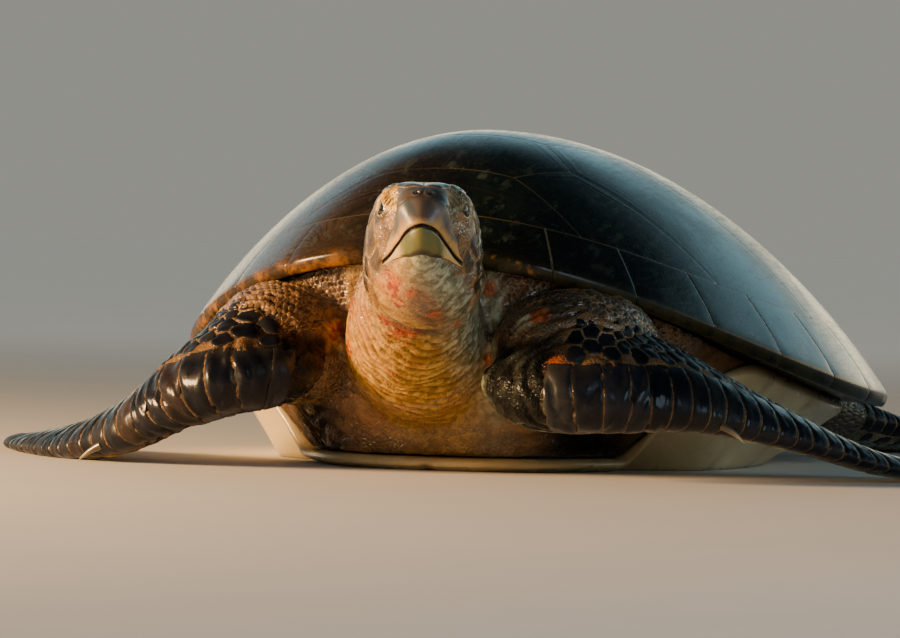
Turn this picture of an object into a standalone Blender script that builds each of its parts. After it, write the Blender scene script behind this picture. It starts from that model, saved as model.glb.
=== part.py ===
"""Green sea turtle, an adult female hauling herself ashore, as a still life-size model.

The turtle lies on its plastron and faces -Y, with +X on its own left and +Z up.
Everything is worked out in the shell's own frame, whose origin is under the middle
of the shell, and then moved by SHELL_AT so that the whole animal is centred.
Flesh is lofted between unlike sections; where two parts meet, one is cut by the
other grown by GAP, so that they stand that far apart.
"""
import math

import bmesh
import bpy
import numpy as np

# ---- driving dimensions, in metres and degrees --------------------------------------
GAP = 0.0004                 # clearance between parts that meet
SHELL_AT = (0.0, 0.036, 0.0)  # middle of the shell in the model's frame

SHELL_LENGTH = 1.0           # straight carapace length
SHELL_HALF_WIDTH = 0.38
SHELL_TOP = 0.365            # height of the carapace over the floor
APEX_Y = -0.20               # the carapace is highest in its front third
RIM_FRONT, RIM_SIDE, RIM_REAR = 0.233, 0.068, 0.084   # height of the rim over the floor
RIM_LIP = 0.014              # thickness of the rim
PLAN_TAPER = -0.054          # widest behind the middle where negative
PLAN_SQUARENESS = 0.918
DOME_M, DOME_N = 2.02, 0.924  # dome: rim + rise * (1 - r^M)^N
NUCHAL_DIP, NUCHAL_WIDTH = 0.015, 0.22   # the rim's hollow over the neck
SEAM_DEPTH = 0.0022

HEAD_YAW, HEAD_PITCH = 16.0, 22.0
HEAD_LENGTH = 0.19
HEAD_BASE = (0.0375, -0.569, 0.206)      # middle of the joint of head and neck
EYE_RADIUS = 0.0165
EYE_AT = (0.127, 0.0290, 0.022)           # along, beside and above the head's axis
MOUTH_CORNER = 0.105                     # how far along the head the mouth starts

PLASTRON_THICK = 0.014
FLOOR_CUT = 0.2                          # depth of the block that cuts flats at the floor

# ---- the shell's scutes, in angles round the shell (0 front, 180 rear) and disc radii ---
MARGINAL_SEAMS = (7.5, 22, 36, 50, 64, 78, 92, 106, 120, 134, 148, 163, 180)
COSTAL_LANDINGS = (29, 57, 85, 117, 153)
MARGINAL_FRONT, MARGINAL_SIDE = 0.85, 0.875            # inner border of the marginals
VERTEBRAL_SEAM_Y = (-0.60, -0.23, 0.14, 0.50)          # seams between the vertebrals
VERTEBRAL_SEAM_X = (0.19, 0.20, 0.18, 0.13)
VERTEBRAL_CORNERS = ((0.315, -0.42), (0.325, -0.05), (0.29, 0.33))

PARTS = bpy.data.collections.new("green_sea_turtle")
CUTTERS = bpy.data.collections.new("cutters")
SHELL_BROWN, SHELL_CREAM = (0.045, 0.05, 0.03), (0.62, 0.52, 0.33)
SKIN_DARK, SKIN_PALE, HORN = (0.10, 0.085, 0.06), (0.55, 0.40, 0.22), (0.17, 0.14, 0.07)


# ---- objects, materials and cuts -----------------------------------------------------
def material(name, colour, roughness):
    """A plain glossy or matt surface of one colour."""
    made = bpy.data.materials.new(name)
    made.use_nodes = True
    shader = made.node_tree.nodes["Principled BSDF"]
    shader.inputs["Base Color"].default_value = (*colour, 1.0)
    shader.inputs["Roughness"].default_value = roughness
    shader.inputs["Metallic"].default_value = 0.0
    return made


def add_object(name, vertices, faces, colour=None, roughness=0.5):
    """One closed body from vertices in the shell's frame; with no colour it is a cutter."""
    mesh = bpy.data.meshes.new(name)
    mesh.from_pydata((np.asarray(vertices) + SHELL_AT).tolist(), [], faces)
    work = bmesh.new()
    work.from_mesh(mesh)
    bmesh.ops.remove_doubles(work, verts=work.verts, dist=1e-5)
    bmesh.ops.recalc_face_normals(work, faces=work.faces)
    if work.calc_volume(signed=True) < 0:
        bmesh.ops.reverse_faces(work, faces=work.faces)
    work.to_mesh(mesh)
    work.free()
    mesh.shade_smooth()
    made = bpy.data.objects.new(name, mesh)
    if colour is None:
        made.hide_render = True
        made.display_type = "WIRE"
        CUTTERS.objects.link(made)
    else:
        mesh.materials.append(material(name, colour, roughness))
        PARTS.objects.link(made)
    return made


def cut(target, cutters, operation="DIFFERENCE"):
    """Boolean modifiers on the target, one for each cutter."""
    for cutter in cutters:
        modifier = target.modifiers.new(cutter.name, "BOOLEAN")
        modifier.operation = operation
        modifier.object = cutter
    return target


def loft_faces(rings, sides):
    """Quads between neighbouring rings, and a face on each end."""
    faces = [list(range(sides)), [(rings - 1) * sides + k for k in range(sides)]]
    for i in range(rings - 1):
        for k in range(sides):
            n = (k + 1) % sides
            faces.append([i * sides + k, i * sides + n, (i + 1) * sides + n, (i + 1) * sides + k])
    return faces


def add_loft(name, rings, colour=None, roughness=0.5):
    """A closed loft through rings of points, an array of rings x points x 3."""
    count, sides, _ = rings.shape
    return add_object(name, rings.reshape(-1, 3), loft_faces(count, sides), colour, roughness)


def smooth_rows(rows, count):
    """Catmull-Rom curve through the rows of a table, with `count` rows evenly along it."""
    table = np.asarray(rows, float)
    ends = np.vstack([2 * table[0] - table[1], table, 2 * table[-1] - table[-2]])
    steps = np.linalg.norm(np.diff(table[:, :3], axis=0), axis=1)
    knots = np.concatenate([[0.0], np.cumsum(steps)])
    along = np.linspace(0.0, knots[-1], count)
    i = np.clip(np.searchsorted(knots, along, side="right") - 1, 0, len(table) - 2)
    w = ((along - knots[i]) / steps[i])[:, None]
    a, b, c, d = ends[i], ends[i + 1], ends[i + 2], ends[i + 3]
    return 0.5 * (2 * b + (c - a) * w + (2 * a - 5 * b + 4 * c - d) * w**2
                  + (3 * b - a - 3 * c + d) * w**3)


def limb_rings(rows, count, sides, lead=0.0, grow=0.0, side=1):
    """Rings along a limb. A row is x, y, z, half width, half depth and tilt in degrees.

    The width axis is level and square to the limb, turned by the tilt; lead makes the
    section thicker on the leading side, as on a flipper's blade. side -1 mirrors it.
    """
    s = smooth_rows(rows, count)
    tangent = np.gradient(s[:, :3], axis=0)
    tangent /= np.linalg.norm(tangent, axis=1)[:, None]
    across = np.cross((0.0, 0.0, 1.0), tangent)
    across /= np.linalg.norm(across, axis=1)[:, None]
    up = np.cross(tangent, across)
    tilt = np.radians(s[:, 5])[:, None]
    width = across * np.cos(tilt) + up * np.sin(tilt)
    depth = up * np.cos(tilt) - across * np.sin(tilt)
    angle = np.arange(sides) / sides * 2 * math.pi
    w = np.cos(angle) * (s[:, 3:4] + grow)
    d = np.sin(angle) * (1 - lead * np.cos(angle)) * (s[:, 4:5] + grow)
    rings = s[:, None, :3] + w[..., None] * width[:, None] + d[..., None] * depth[:, None]
    rings[0] -= tangent[0] * grow
    rings[-1] += tangent[-1] * grow
    rings[..., 0] *= side
    return rings


# ---- the shell -----------------------------------------------------------------------
def rim(angle):
    """Rim of the carapace: x, y and height at an angle in radians from the front."""
    s, c = np.sin(angle), np.cos(angle)
    x = SHELL_HALF_WIDTH * np.sign(s) * np.abs(s) ** PLAN_SQUARENESS * (1 + PLAN_TAPER * c)
    y = -SHELL_LENGTH / 2 * c + NUCHAL_DIP * np.exp(-((angle / NUCHAL_WIDTH) ** 2))
    z = (RIM_SIDE + (RIM_FRONT - RIM_SIDE) * ((1 + c) / 2) ** 3
         + (RIM_REAR - RIM_SIDE) * ((1 - c) / 2) ** 3)
    return x, y, z


def plan(angle, r, z):
    """A point at disc radius r (0 at the apex, 1 at the rim) and height z."""
    x, y, _ = rim(angle)
    x, y, z = np.broadcast_arrays(x * r, APEX_Y * (1 - r) + y * r, z)
    return np.stack([x, y, z], -1)


def dome(angle, r, lift=0.0):
    """A point on the carapace's outer surface."""
    r = np.minimum(r, 1.0)
    height = rim(angle)[2]
    z = height + (SHELL_TOP - height) * (1 - r**DOME_M) ** DOME_N
    return plan(angle, r, z + lift)


def marginal_border(angle):
    """Disc radius of the seam inside the marginal scutes."""
    return MARGINAL_FRONT + (MARGINAL_SIDE - MARGINAL_FRONT) * np.abs(np.sin(angle))


def disc(angle, r):
    """Disc coordinates of a point, x to the left and y to the rear."""
    return np.array([r * math.sin(angle), -r * math.cos(angle)])


def seam(start, end, pieces):
    """Disc points from start up to, but not including, end."""
    steps = np.arange(pieces)[:, None] / pieces
    return start + (end - start) * steps


def border_arc(first, last, pieces):
    """Disc points along the marginals' inner seam through every seam that meets it."""
    joints = sorted({*MARGINAL_SEAMS, *COSTAL_LANDINGS, 0.0})
    joints = sorted({-j for j in joints} | set(joints))
    stops = [j for j in joints if min(first, last) <= j <= max(first, last)]
    if first > last:
        stops.reverse()
    points = []
    for a, b in zip(stops, stops[1:]):
        for k in range(pieces):
            angle = math.radians(a + (b - a) * k / pieces)
            points.append(disc(angle, marginal_border(angle)))
    return np.array(points)


def at_border(degrees):
    """The disc point of the marginals' inner seam at one angle."""
    angle = math.radians(degrees)
    return disc(angle, marginal_border(angle))


def scute_outlines():
    """Closed outlines, in disc points, of the vertebral, costal, nuchal and marginal scutes."""
    outlines = []
    seams = [np.array([x, y]) for x, y in zip(VERTEBRAL_SEAM_X, VERTEBRAL_SEAM_Y)]
    corners = [np.array(c) for c in VERTEBRAL_CORNERS]
    front, rear = at_border(COSTAL_LANDINGS[0]), at_border(COSTAL_LANDINGS[-1])
    flip = np.array([-1.0, 1.0])
    # vertebrals: down the left side, across, and up the right side
    sides = [[front, seams[0]], *([seams[i], corners[i], seams[i + 1]] for i in range(3)),
             [seams[3], rear]]
    for k, left in enumerate(sides):
        down = [seam(a, b, 3) for a, b in zip(left, left[1:])]
        up = [seam(a * flip, b * flip, 3) for a, b in zip(left[::-1], left[-2::-1])]
        if k == len(sides) - 1:
            base = [border_arc(COSTAL_LANDINGS[-1], 180, 1), border_arc(-180, -COSTAL_LANDINGS[-1], 1)]
        else:
            base = [seam(left[-1], left[-1] * flip, 4)]
        if k == 0:
            top = [border_arc(-COSTAL_LANDINGS[0], COSTAL_LANDINGS[0], 1)]
        else:
            top = [seam(left[0] * flip, left[0], 4)]
        outlines.append(np.vstack([*top, *down, *base, *up]))
    # costals: along the vertebrals, out to the marginals and back
    inner = [[front, seams[0], corners[0]], [corners[0], seams[1], corners[1]],
             [corners[1], seams[2], corners[2]], [corners[2], seams[3], rear]]
    for k, path in enumerate(inner):
        a, b = COSTAL_LANDINGS[k], COSTAL_LANDINGS[k + 1]
        loop = [seam(p, q, 3) for p, q in zip(path, path[1:])]
        if k < 3:
            loop.append(seam(path[-1], at_border(b), 5))
        loop.append(border_arc(b, a, 1))
        if k > 0:
            loop.append(seam(at_border(a), path[0], 5))
        outlines.append(np.vstack(loop))
        outlines.append(np.vstack(loop) * flip)
    # nuchal and marginals: along the rim and back along their inner seam
    spans = [(-MARGINAL_SEAMS[0], MARGINAL_SEAMS[0]), *zip(MARGINAL_SEAMS, MARGINAL_SEAMS[1:])]
    for k, (a, b) in enumerate(spans):
        edge = [math.radians(a), math.radians((a + b) / 2), math.radians(b)]
        rim_points = [disc(edge[0], 1.0), disc(edge[1], 1.0)]
        loop = [np.array(rim_points), seam(disc(edge[2], 1.0), at_border(b), 2),
                border_arc(b, a, 1), seam(at_border(a), disc(edge[0], 1.0), 2)]
        outlines.append(np.vstack(loop))
        if k > 0:
            outlines.append(np.vstack(loop) * flip)
    return outlines


def disc_to_dome(points, lift=0.0):
    """Points on the carapace from disc coordinates."""
    return dome(np.arctan2(points[:, 0], -points[:, 1]), np.hypot(points[:, 0], points[:, 1]), lift)


RIM_ANGLES = [0.0]
for _a, _b in zip((-MARGINAL_SEAMS[0], *MARGINAL_SEAMS), MARGINAL_SEAMS):
    RIM_ANGLES += [math.radians((_a + _b) / 2), math.radians(_b)] if _a > 0 else [math.radians(_b)]
RIM_ANGLES = np.array([-a for a in RIM_ANGLES[-2:0:-1]] + RIM_ANGLES)
UNDER_RINGS = (0.985, 0.84, 0.5)   # rings of the carapace's underside


def under(angle, r):
    """Height of the carapace's underside: level at the rim, and hollow over the trunk."""
    height = rim(angle)[2] - RIM_LIP
    shelf = height + (UNDER_RINGS[0] - r) * 0.08
    hollow = height * 0.35 + 0.15
    inner = np.clip((UNDER_RINGS[1] - r) / UNDER_RINGS[1], 0, 1)
    return shelf + (np.maximum(hollow, shelf) - shelf) * inner


def fan(rings, centre, vertices):
    """Triangles joining a stack of rings of vertex numbers, and the last ring to its middle.

    A band is split from its outer ring's point to its inner ring's next point, so that
    two layers over the same points have the same facets.
    """
    count = len(rings[0])
    faces = []
    for first, second in zip(rings, rings[1:]):
        reach = [sum(math.hypot(*vertices[v][:2]) for v in ring) for ring in (first, second)]
        outer, inner = (first, second) if reach[0] >= reach[1] else (second, first)
        for k in range(count):
            n = (k + 1) % count
            faces += [[outer[k], outer[n], inner[n]], [outer[k], inner[n], inner[k]]]
    return faces + [[rings[-1][k], rings[-1][(k + 1) % count], centre] for k in range(count)]


def add_carapace():
    """Scutes pillowed over the dome, with their seams sunk, closed by the underside."""
    vertices, faces = [], []
    for outline in scute_outlines():
        centre = outline.mean(axis=0)
        steps = (1.0, 0.84, 0.45) if len(outline) > 14 else (1.0, 0.6)
        start = len(vertices)
        for t in steps:
            edge = np.hypot(outline[:, 0], outline[:, 1]) > 0.999
            lift = np.where(edge | (t < 1.0), 0.0, -SEAM_DEPTH)
            vertices += disc_to_dome(centre + (outline - centre) * t, lift).tolist()
        vertices += disc_to_dome(centre[None]).tolist()
        count = len(outline)
        rings = [list(range(start + k * count, start + (k + 1) * count)) for k in range(len(steps))]
        faces += fan(rings, start + len(steps) * count, vertices)
    start, count = len(vertices), len(RIM_ANGLES)
    vertices += dome(RIM_ANGLES, 1.0).tolist()
    for r in UNDER_RINGS:
        vertices += plan(RIM_ANGLES, r, under(RIM_ANGLES, r)).tolist()
    vertices.append([0.0, APEX_Y, float(under(0.0, 0.0))])
    rings = [list(range(start + k * count, start + (k + 1) * count))
             for k in range(len(UNDER_RINGS) + 1)]
    faces += fan(rings, len(vertices) - 1, vertices)
    return add_object("carapace", vertices, faces, SHELL_BROWN, 0.25)


def add_stack(name, rings, top_z, bottom_z, colour=None, roughness=0.5):
    """A layer of the body: rings of points from the middle of its top, round its edge,
    to the middle of its underside."""
    vertices = [p for ring in rings for p in ring.tolist()]
    count = len(rings[0])
    order = [list(range(k * count, (k + 1) * count)) for k in range(len(rings))]
    top, bottom = len(vertices), len(vertices) + 1
    vertices += [[0.0, APEX_Y, top_z], [0.0, APEX_Y, bottom_z]]
    faces = fan(order, bottom, vertices)
    faces += [[order[0][(k + 1) % count], order[0][k], top] for k in range(count)]
    return add_object(name, vertices, faces, colour, roughness)


def plastron_edge(angle):
    """Disc radius of the plastron's edge, and how much of a bridge it is (0 to 1) there.

    The front lobe is rounded, the rear lobe narrower, and between them the bridges run
    out to the marginals.
    """
    degrees = np.abs(np.degrees(angle))
    rise = np.clip((degrees - 48) / 20, 0, 1) * np.clip((134 - degrees) / 20, 0, 1)
    bridge = rise**2 * (3 - 2 * rise)
    lobe = np.where(degrees < 90, 0.79 - 0.16 * np.sin(np.minimum(degrees, 60) / 60 * math.pi / 2) ** 2,
                    0.78 - 0.16 * np.sin(np.minimum(180 - degrees, 60) / 60 * math.pi / 2) ** 2)
    return lobe * (1 - bridge) + 0.88 * bridge, bridge


PLASTRON_RINGS = (0.5, 0.78, 0.955, 1.0)   # rings as shares of the plastron's reach


def plastron_top(angle, share):
    """Height of the plastron's upper side: level, rising over the bridges to the marginals."""
    reach, bridge = plastron_edge(angle)
    steep = np.clip((share - PLASTRON_RINGS[1]) / (1 - PLASTRON_RINGS[1]), 0, 1)
    meet = under(angle, reach) - GAP
    return PLASTRON_THICK + (meet - PLASTRON_THICK) * steep * bridge


def add_plastron(name, grow=0.0, colour=None):
    """Plates under the body and the bridges that tie them to the marginals."""
    reach, bridge = plastron_edge(RIM_ANGLES)
    top = [plan(RIM_ANGLES, reach * s, plastron_top(RIM_ANGLES, s) + grow) for s in PLASTRON_RINGS]
    top[-1] = plan(RIM_ANGLES, reach * (1 + 3 * grow),
                   plastron_top(RIM_ANGLES, 1.0) - 0.004 * (1 - bridge) + grow)
    turned = 0.005 * (1 - bridge)
    bottom = [plan(RIM_ANGLES, reach * (1 + 3 * grow) * s, np.maximum(
        plastron_top(RIM_ANGLES, s) - PLASTRON_THICK + turned * (s == 1.0), 0.0) - grow)
        for s in (1.0, 0.93, PLASTRON_RINGS[1], 0.5)]
    return add_stack(name, top + bottom, PLASTRON_THICK + grow, -grow, colour, 0.4)


def pocket(angle):
    """How far the flesh fills the shell's open corners, 1 in front, less behind, 0 at the bridges."""
    degrees = np.abs(np.degrees(angle))
    front, rear = np.clip((60 - degrees) / 14, 0, 1), np.clip((degrees - 128) / 16, 0, 1)
    return front**2 * (3 - 2 * front) + 0.5 * rear**2 * (3 - 2 * rear)


def add_trunk(name, grow=0.0, colour=None):
    """Flesh between the carapace and the plastron, bulging at the shell's open corners."""
    reach, _ = plastron_edge(RIM_ANGLES)
    open_here = pocket(RIM_ANGLES)
    share, shelf = PLASTRON_RINGS[2], UNDER_RINGS[1]
    wide = shelf + 0.012 + 0.085 * open_here
    top = [plan(RIM_ANGLES, r, under(RIM_ANGLES, r) - GAP + grow) for r in (UNDER_RINGS[2], shelf)]
    high = under(RIM_ANGLES, wide) - 2 * GAP - 0.001 * open_here
    low = plastron_top(RIM_ANGLES, share) + GAP
    top.append(plan(RIM_ANGLES, wide + 3 * grow, high + 2 * grow))
    if grow:
        top.append(plan(RIM_ANGLES, wide + 3 * grow, high - grow))
    middle = plan(RIM_ANGLES, (wide + reach * share) / 2 + 0.03 * open_here + 3 * grow, (high + low) / 2)
    bottom = [plan(RIM_ANGLES, reach * s + (3 * grow if s == share else 0.0),
                   plastron_top(RIM_ANGLES, s) + GAP - grow) for s in PLASTRON_RINGS[2::-1]]
    peak = float(under(0.0, 0.0)) - GAP + grow
    return add_stack(name, top + [middle] + bottom, peak, PLASTRON_THICK + GAP - grow, colour, 0.6)


def add_shell_cutter():
    """The space that the carapace takes from its underside up, grown by the clearance."""
    low = [plan(RIM_ANGLES, r, under(RIM_ANGLES, r) - GAP) for r in UNDER_RINGS]
    low[0] = plan(RIM_ANGLES, UNDER_RINGS[0] + 0.003, under(RIM_ANGLES, UNDER_RINGS[0]) - GAP)
    high = plan(RIM_ANGLES, 1.003, rim(RIM_ANGLES)[2] + 0.001)
    above = plan(RIM_ANGLES, 0.9, SHELL_TOP)
    return add_stack("carapace_space", [above, high, *low], SHELL_TOP, float(under(0.0, 0.0)) - GAP)


# ---- the head ------------------------------------------------------------------------
YAW, PITCH = math.radians(HEAD_YAW), math.radians(HEAD_PITCH)
FORWARD = np.array([math.sin(YAW) * math.cos(PITCH), -math.cos(YAW) * math.cos(PITCH), math.sin(PITCH)])
ASIDE = np.array([math.cos(YAW), math.sin(YAW), 0.0])
UPWARD = np.cross(FORWARD, ASIDE)

# along, half width, top, underside, height of the widest place, squareness of the crown
HEAD_ROWS = (
    (0.000, 0.0600, 0.0480, -0.0620, -0.006, 0.90),
    (0.030, 0.0625, 0.0565, -0.0645, -0.006, 0.80),
    (0.060, 0.0618, 0.0600, -0.0630, -0.004, 0.70),
    (0.090, 0.0568, 0.0600, -0.0590, 0.000, 0.64),
    (0.120, 0.0485, 0.0555, -0.0545, 0.003, 0.62),
    (0.145, 0.0410, 0.0470, -0.0505, 0.002, 0.66),
    (0.165, 0.0340, 0.0368, -0.0450, -0.002, 0.72),
    (0.179, 0.0268, 0.0270, -0.0370, -0.007, 0.78),
    (0.187, 0.0195, 0.0180, -0.0280, -0.010, 0.84),
    (0.190, 0.0110, 0.0050, -0.0225, -0.012, 0.95),
)
HEAD_SIDES = 24
# how much of its width the snout keeps at the mouth, by place along the head
PINCH_ROWS = ((0.085, 1.0), (0.104, 0.88), (0.121, 0.80), (0.149, 0.685), (0.180, 0.60), (0.190, 0.60))


def head_point(along, aside, above):
    """World point of a place on the head."""
    along, aside, above = (np.asarray(v, float)[..., None] for v in (along, aside, above))
    return np.array(HEAD_BASE) + along * FORWARD + aside * ASIDE + above * UPWARD


def pinch(along, above):
    """Share of its width that the snout keeps, falling from the eyes' level to the mouth."""
    table = np.array(PINCH_ROWS)
    share = np.clip((0.004 - above) / 0.027, 0, 1)
    return 1 - (1 - np.interp(along, table[:, 0], table[:, 1])) * share**2 * (3 - 2 * share)


def head_rings(count):
    """Rings of the whole head: superellipses, squarer over the crown than under the jaw,
    the snout narrowed towards the mouth."""
    rows = smooth_rows(HEAD_ROWS, count)
    along, wide, top, low, middle, square = (rows[:, k:k + 1] for k in range(6))
    angle = np.arange(HEAD_SIDES) / HEAD_SIDES * 2 * math.pi
    c, s = np.cos(angle), np.sin(angle)
    power = np.where(s > 0, square, 0.9)
    aside = wide * np.sign(c) * np.abs(c) ** power
    above = middle + np.where(s > 0, top - middle, middle - low) * np.sign(s) * np.abs(s) ** power
    return head_point(np.broadcast_to(along, aside.shape), aside * pinch(along, above), above)


def add_prism(name, outline, grow=0.0):
    """A cutter with an outline in the head's side view, running right across the head."""
    points = np.asarray(outline, float)
    before, after = np.roll(points, 1, axis=0), np.roll(points, -1, axis=0)
    way = (after - points) / np.linalg.norm(after - points, axis=1)[:, None]
    way += (points - before) / np.linalg.norm(points - before, axis=1)[:, None]
    normal = np.stack([way[:, 1], -way[:, 0]], -1) / np.linalg.norm(way, axis=1)[:, None]
    points = points + normal * grow
    rings = np.stack([head_point(points[:, 0], np.full(len(points), side), points[:, 1])
                      for side in (-0.12, 0.12)])
    return add_loft(name, rings)


# outlines in the head's side view, counter-clockwise: along, above
BELOW_MOUTH = ((0.21, -0.0215), (0.17, -0.0222), (0.13, -0.0250), (MOUTH_CORNER, -0.0262),
               (0.08, -0.034), (0.05, -0.047), (0.03, -0.09), (0.21, -0.09))
UPPER_BEAK = ((0.21, -0.001), (0.165, -0.004), (0.14, -0.0120), (MOUTH_CORNER + 0.006, -0.0215),
              (MOUTH_CORNER + 0.005, -0.030), (0.21, -0.026))
LOWER_BEAK = ((0.21, -0.0150), (MOUTH_CORNER + 0.009, -0.0180), (MOUTH_CORNER + 0.010, -0.0300),
              (0.14, -0.0370), (0.165, -0.0445), (0.21, -0.0460))


def add_eye(name, side, radius, colour=None):
    """An eyeball, or its socket as a cutter."""
    bpy.ops.mesh.primitive_uv_sphere_add(segments=14, ring_count=8, radius=radius)
    made = bpy.context.active_object
    made.name = name
    made.location = head_point(EYE_AT[0], EYE_AT[1] * side, EYE_AT[2]) + np.array(SHELL_AT)
    made.data.shade_smooth()
    for collection in list(made.users_collection):
        collection.objects.unlink(made)
    if colour is None:
        made.hide_render = True
        made.display_type = "WIRE"
        CUTTERS.objects.link(made)
    else:
        made.data.materials.append(material(name, colour, 0.08))
        PARTS.objects.link(made)
    return made


def add_head():
    """The whole head, parted by thin cuts into cranium, jaw, beak sheaths and eyes."""
    rings = head_rings(19)
    above_mouth = add_prism("mouth_space", BELOW_MOUTH, GAP)
    jaw_space = add_prism("jaw_space", BELOW_MOUTH)
    upper, upper_space = add_prism("upper_beak", UPPER_BEAK), add_prism("upper_beak_space", UPPER_BEAK, GAP)
    lower, lower_space = add_prism("lower_beak", LOWER_BEAK), add_prism("lower_beak_space", LOWER_BEAK, GAP)
    sockets = [add_eye(f"socket_{word}", side, EYE_RADIUS + GAP)
               for word, side in (("left", 1), ("right", -1))]
    cut(add_loft("head", rings, SKIN_DARK, 0.4), [above_mouth, upper_space, *sockets])
    cut(cut(add_loft("beak_upper", rings, HORN, 0.3), [upper], "INTERSECT"), [above_mouth])
    cut(cut(add_loft("jaw", rings, SKIN_PALE, 0.5), [jaw_space], "INTERSECT"), [lower_space])
    cut(add_loft("beak_lower", rings, HORN, 0.3), [lower, jaw_space], "INTERSECT")
    for word, side in (("left", 1), ("right", -1)):
        add_eye(f"eye_{word}", side, EYE_RADIUS, (0.02, 0.018, 0.015))


# ---- neck, limbs and tail: x, y, z, half width, half depth, tilt --------------------------
NECK_ROWS = (
    (-0.006, -0.300, 0.120, 0.080, 0.080, 0),
    (-0.006, -0.380, 0.122, 0.084, 0.084, 0),
    (-0.003, -0.440, 0.132, 0.081, 0.080, 0),
    (0.007, -0.495, 0.156, 0.073, 0.072, 0),
    (0.025, -0.543, 0.186, 0.065, 0.062, 0),
)
ARM_ROWS = (
    (0.145, -0.300, 0.120, 0.070, 0.060, 0),
    (0.155, -0.370, 0.130, 0.086, 0.068, 0),
    (0.163, -0.430, 0.132, 0.090, 0.069, 0),
    (0.168, -0.478, 0.126, 0.080, 0.062, 0),
    (0.168, -0.515, 0.116, 0.057, 0.045, 0),
    (0.166, -0.533, 0.110, 0.024, 0.020, 0),
)
FLIPPER_ROWS = (
    (0.108, -0.488, 0.106, 0.028, 0.022, 55),
    (0.126, -0.508, 0.106, 0.050, 0.034, 55),
    (0.172, -0.528, 0.108, 0.067, 0.038, 54),
    (0.228, -0.512, 0.101, 0.071, 0.034, 47),
    (0.288, -0.464, 0.083, 0.077, 0.027, 33),
    (0.360, -0.392, 0.052, 0.080, 0.019, 19),
    (0.440, -0.305, 0.0225, 0.069, 0.0125, 10),
    (0.505, -0.222, 0.0085, 0.047, 0.0095, 4),
    (0.540, -0.158, 0.0065, 0.026, 0.0080, 0),
    (0.552, -0.128, 0.0060, 0.008, 0.0065, 0),
)
# the left wrist is held up and the right one presses down: height added station by station
FLIPPER_LIFT = {"left": (0, 0, 0, 0.008, 0.018, 0.016, 0.004, 0, 0, 0),
                "right": (0.004, 0.008, 0.008, -0.005, -0.024, -0.020, -0.005, 0, 0, 0)}
ARM_SLIM = {"left": 1.0, "right": 0.9}   # the right arm is folded closer
THIGH_ROWS = (
    (0.125, 0.300, 0.068, 0.074, 0.050, 0),
    (0.160, 0.365, 0.062, 0.076, 0.048, 0),
    (0.198, 0.420, 0.050, 0.070, 0.040, -6),
    (0.228, 0.465, 0.037, 0.064, 0.030, -10),
)
HIND_FLIPPER_ROWS = (
    THIGH_ROWS[-1],
    (0.256, 0.512, 0.025, 0.069, 0.0220, -8),
    (0.280, 0.565, 0.0155, 0.075, 0.0160, -4),
    (0.294, 0.618, 0.0095, 0.066, 0.0118, 0),
    (0.298, 0.655, 0.0070, 0.040, 0.0090, 0),
    (0.298, 0.668, 0.0062, 0.016, 0.0070, 0),
)
TAIL_ROWS = (
    (0.0, 0.300, 0.050, 0.056, 0.042, 0),
    (0.0, 0.400, 0.038, 0.044, 0.034, 0),
    (0.0, 0.475, 0.024, 0.026, 0.023, 0),
    (0.0, 0.525, 0.014, 0.013, 0.013, 0),
    (0.0, 0.542, 0.010, 0.005, 0.005, 0),
)
BLADE_LEAD = 0.42          # how much thicker a blade is along its leading edge


def add_neck(name, grow=0.0, colour=None):
    """Neck from inside the trunk to the plane where the head starts."""
    rings = limb_rings(NECK_ROWS, 10, HEAD_SIDES, grow=grow)
    end = head_rings(2)[0] - FORWARD * GAP
    if grow:
        end = end + (end - end.mean(axis=0)) * (grow / 0.06) + FORWARD * GAP
    return add_loft(name, np.concatenate([rings, end[None]]), colour, 0.6)


def add_claw(name, rows, lead, station, side, length, radius, blade):
    """A claw on a blade's leading edge: a cone turned to follow the edge, cut by the blade."""
    rings = limb_rings(rows, 60, 12, lead, side=side)
    at = rings[station][6]
    along = rings[station + 6][6] - at
    out = at - rings[station].mean(axis=0)
    way = along / np.linalg.norm(along) + 0.8 * out / np.linalg.norm(out)
    way /= np.linalg.norm(way)
    flat = np.cross(way, (0.0, 0.0, 1.0))
    flat /= np.linalg.norm(flat)
    depth = np.cross(flat, way)
    share = np.linspace(0.0, 1.0, 5)[:, None, None]
    angle = (np.arange(8) / 8 * 2 * math.pi)[None, :, None]
    width = radius * (1 - share) ** 0.7 + 0.0006
    rings = (at - 0.35 * length * way + share * length * 1.35 * way - 0.25 * length * share**2 * depth
             + width * (np.cos(angle) * flat + np.sin(angle) * depth))
    return cut(add_loft(name, rings, HORN, 0.3), [blade])


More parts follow.
